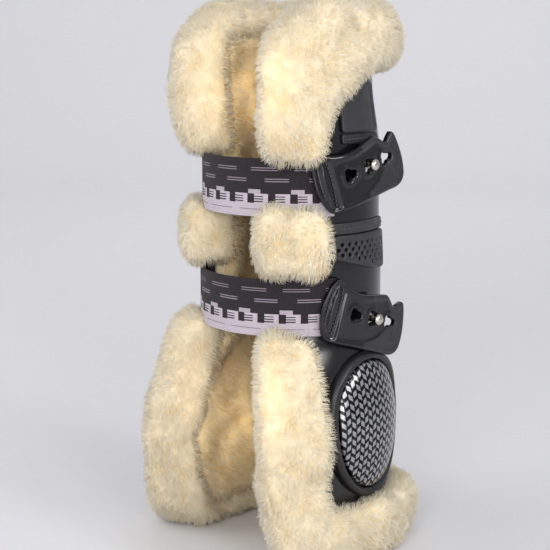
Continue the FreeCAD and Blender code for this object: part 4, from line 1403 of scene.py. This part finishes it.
# %% Relief and finish of a tab
def tab_relief(u, v, gap):
    """Rims, window, channel, bar and grip ribs, as height over the tab's plain face."""
    flat = np.stack([u, v], -1)
    within = inside(flat, WINDOW)
    wall = edge_distance(flat, [WINDOW])
    depth = np.where(within, np.clip(wall / 0.8, 0, 1), 0.0)
    rim = 0.5 * np.exp(-((gap - 1.6) / 0.9) ** 2) * (u > -24)
    channel = -0.9 * (1 / (1 + np.exp(-(u + 32.2) * 4)) - 1 / (1 + np.exp(-(u + 22.4) * 4)))
    channel *= np.clip((gap - 1.6) / 0.6, 0, 1)
    half = 1.9 * np.clip(1 - (v / 15.5) ** 2, 0, 1)
    bar = 1.0 * np.clip((half - np.abs(u + 27.3) + 0.4) / 0.8, 0, 1) * (np.abs(v) < 15)
    front = -0.55 * np.exp(-((u + 34.2 + 2.4 * (v / 17) ** 2 * 0.6) / 0.55) ** 2) * (gap > 0.9)
    ribs = 0
    for place_u in (20.4, 22.6, 24.8):
        ribs = ribs + 0.5 * np.exp(-((u - place_u) / 0.5) ** 2) * (np.abs(v + 3) < 9)
    return rim - 0.7 * depth + channel + bar + front + ribs


def tab_shade(u, v):
    """Material 0 for the polished window and front, and 1 for the satin grip behind."""
    return 0 if u < 15.5 and (inside(np.array([[u, v]]), WINDOW)[0] or u < -2) else 1


print("window", np.ptp(WINDOW, axis=0).round(), "mm")

# %% Tabs with their stitches
TAB_THREAD_OUT = 2.25
for strap in ("upper", "lower"):
    wrap = tab_place(strap)
    holes = [keyhole(k * HOLE_PITCH) for k in (-1, 0, 1)]
    moulding(strap + "_tab_moulding", TAB, holes, spacing=0.75, height=3.0, lip=0.9, base=0.0,
             wrap=wrap, materials=[tab_gloss, tab_satin], body=strap + "_tab",
             replaces=(strap + "_tab",), detail=tab_relief, shade=tab_shade)
    # The two rows bow away from the bar between them.
    for number, (row_u, bow) in enumerate(((-30.6, 1.1), (-24.1, -1.1))):
        row = [(row_u + bow * (v / 15) ** 2, v) for v in np.linspace(-14, 14.5, 20)]
        stitches("%s_tab_stitches_%d" % (strap, number + 1), row, wrap, TAB_THREAD_OUT, strap + "_tab",
                 pitch=2.3, long=1.6, thick=0.36)
    print(strap, "tab with", len(holes), "keyholes")

# %% [markdown]
# ## Studs
# A stud is turned from brass on a lathe and plated with nickel, which is bright and slightly
# warm. It has a flange on the shell, a waisted neck and a domed head. What a lathe makes is a
# profile spun round an axis, so that is how it is drawn, at the place the design gives.

# %% Nickel and studs
def plated_nickel():
    """Nickel plate on turned brass: bright, slightly warm, with faint turning marks."""
    made, tree, shader = material("polished_nickel_plate")
    shader.inputs["Base Color"].default_value = linear("CFC9BE")
    shader.inputs["Metallic"].default_value = 1.0
    where = add(tree, "ShaderNodeTexCoord")
    marks = add(tree, "ShaderNodeTexNoise", None,
                {"Vector": where.outputs["Object"], "Scale": 1 / 0.001, "Detail": 2.0})
    rough = add(tree, "ShaderNodeMapRange", None,
                {"Value": marks.outputs["Fac"], "To Min": 0.08, "To Max": 0.2})
    tree.links.new(rough.outputs["Result"], shader.inputs["Roughness"])
    return made


nickel = plated_nickel()
for strap in ("upper", "lower"):
    low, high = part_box(strap + "_stud")
    y, z = (low.y + high.y) / 2 / MM, (low.z + high.z) / 2 / MM
    foot, tall = low.x / MM, (high.x - low.x) / MM
    profile = [(0.0, 5.8), (0.5, 6.0), (1.0, 5.6), (1.2, 2.6), (2.0, 1.9), (tall - 3.2, 1.8),
               (tall - 2.7, 2.6), (tall - 2.4, 3.2), (tall - 1.8, 3.35), (tall - 0.9, 2.9),
               (tall - 0.25, 1.7), (tall, 0.5)]
    spin = np.linspace(0, 2 * math.pi, 40, endpoint=False)
    rows = np.array([[(foot + h, y + r * math.cos(a), z + r * math.sin(a)) for a in spin]
                     for h, r in profile])
    points, faces = grid_piece(rows)
    piece(strap + "_stud_turned", points, faces, [nickel], "shell", (strap + "_stud",))
    print(strap, "stud", round(tall, 1), "mm tall")

# %% [markdown]
# ## Hidden layers
# The foam liner is closed-cell neoprene, cut from sheet and bonded between shell and wool. It
# and the rivet discs behind the studs barely show, so they keep their design shape and only
# need their finish.

# %% Finishes for the parts that keep their design shape
foam = dark_finish("closed_cell_neoprene_foam", "1D1C1F", 0.75, 0.8)
for node, finish in (("foam_liner", foam), ("upper_stud_backing", nickel), ("lower_stud_backing", nickel)):
    mesh = frame["nodes"][node].data
    mesh.materials.clear()
    mesh.materials.append(finish)
    print(node, "finished as", finish.name)
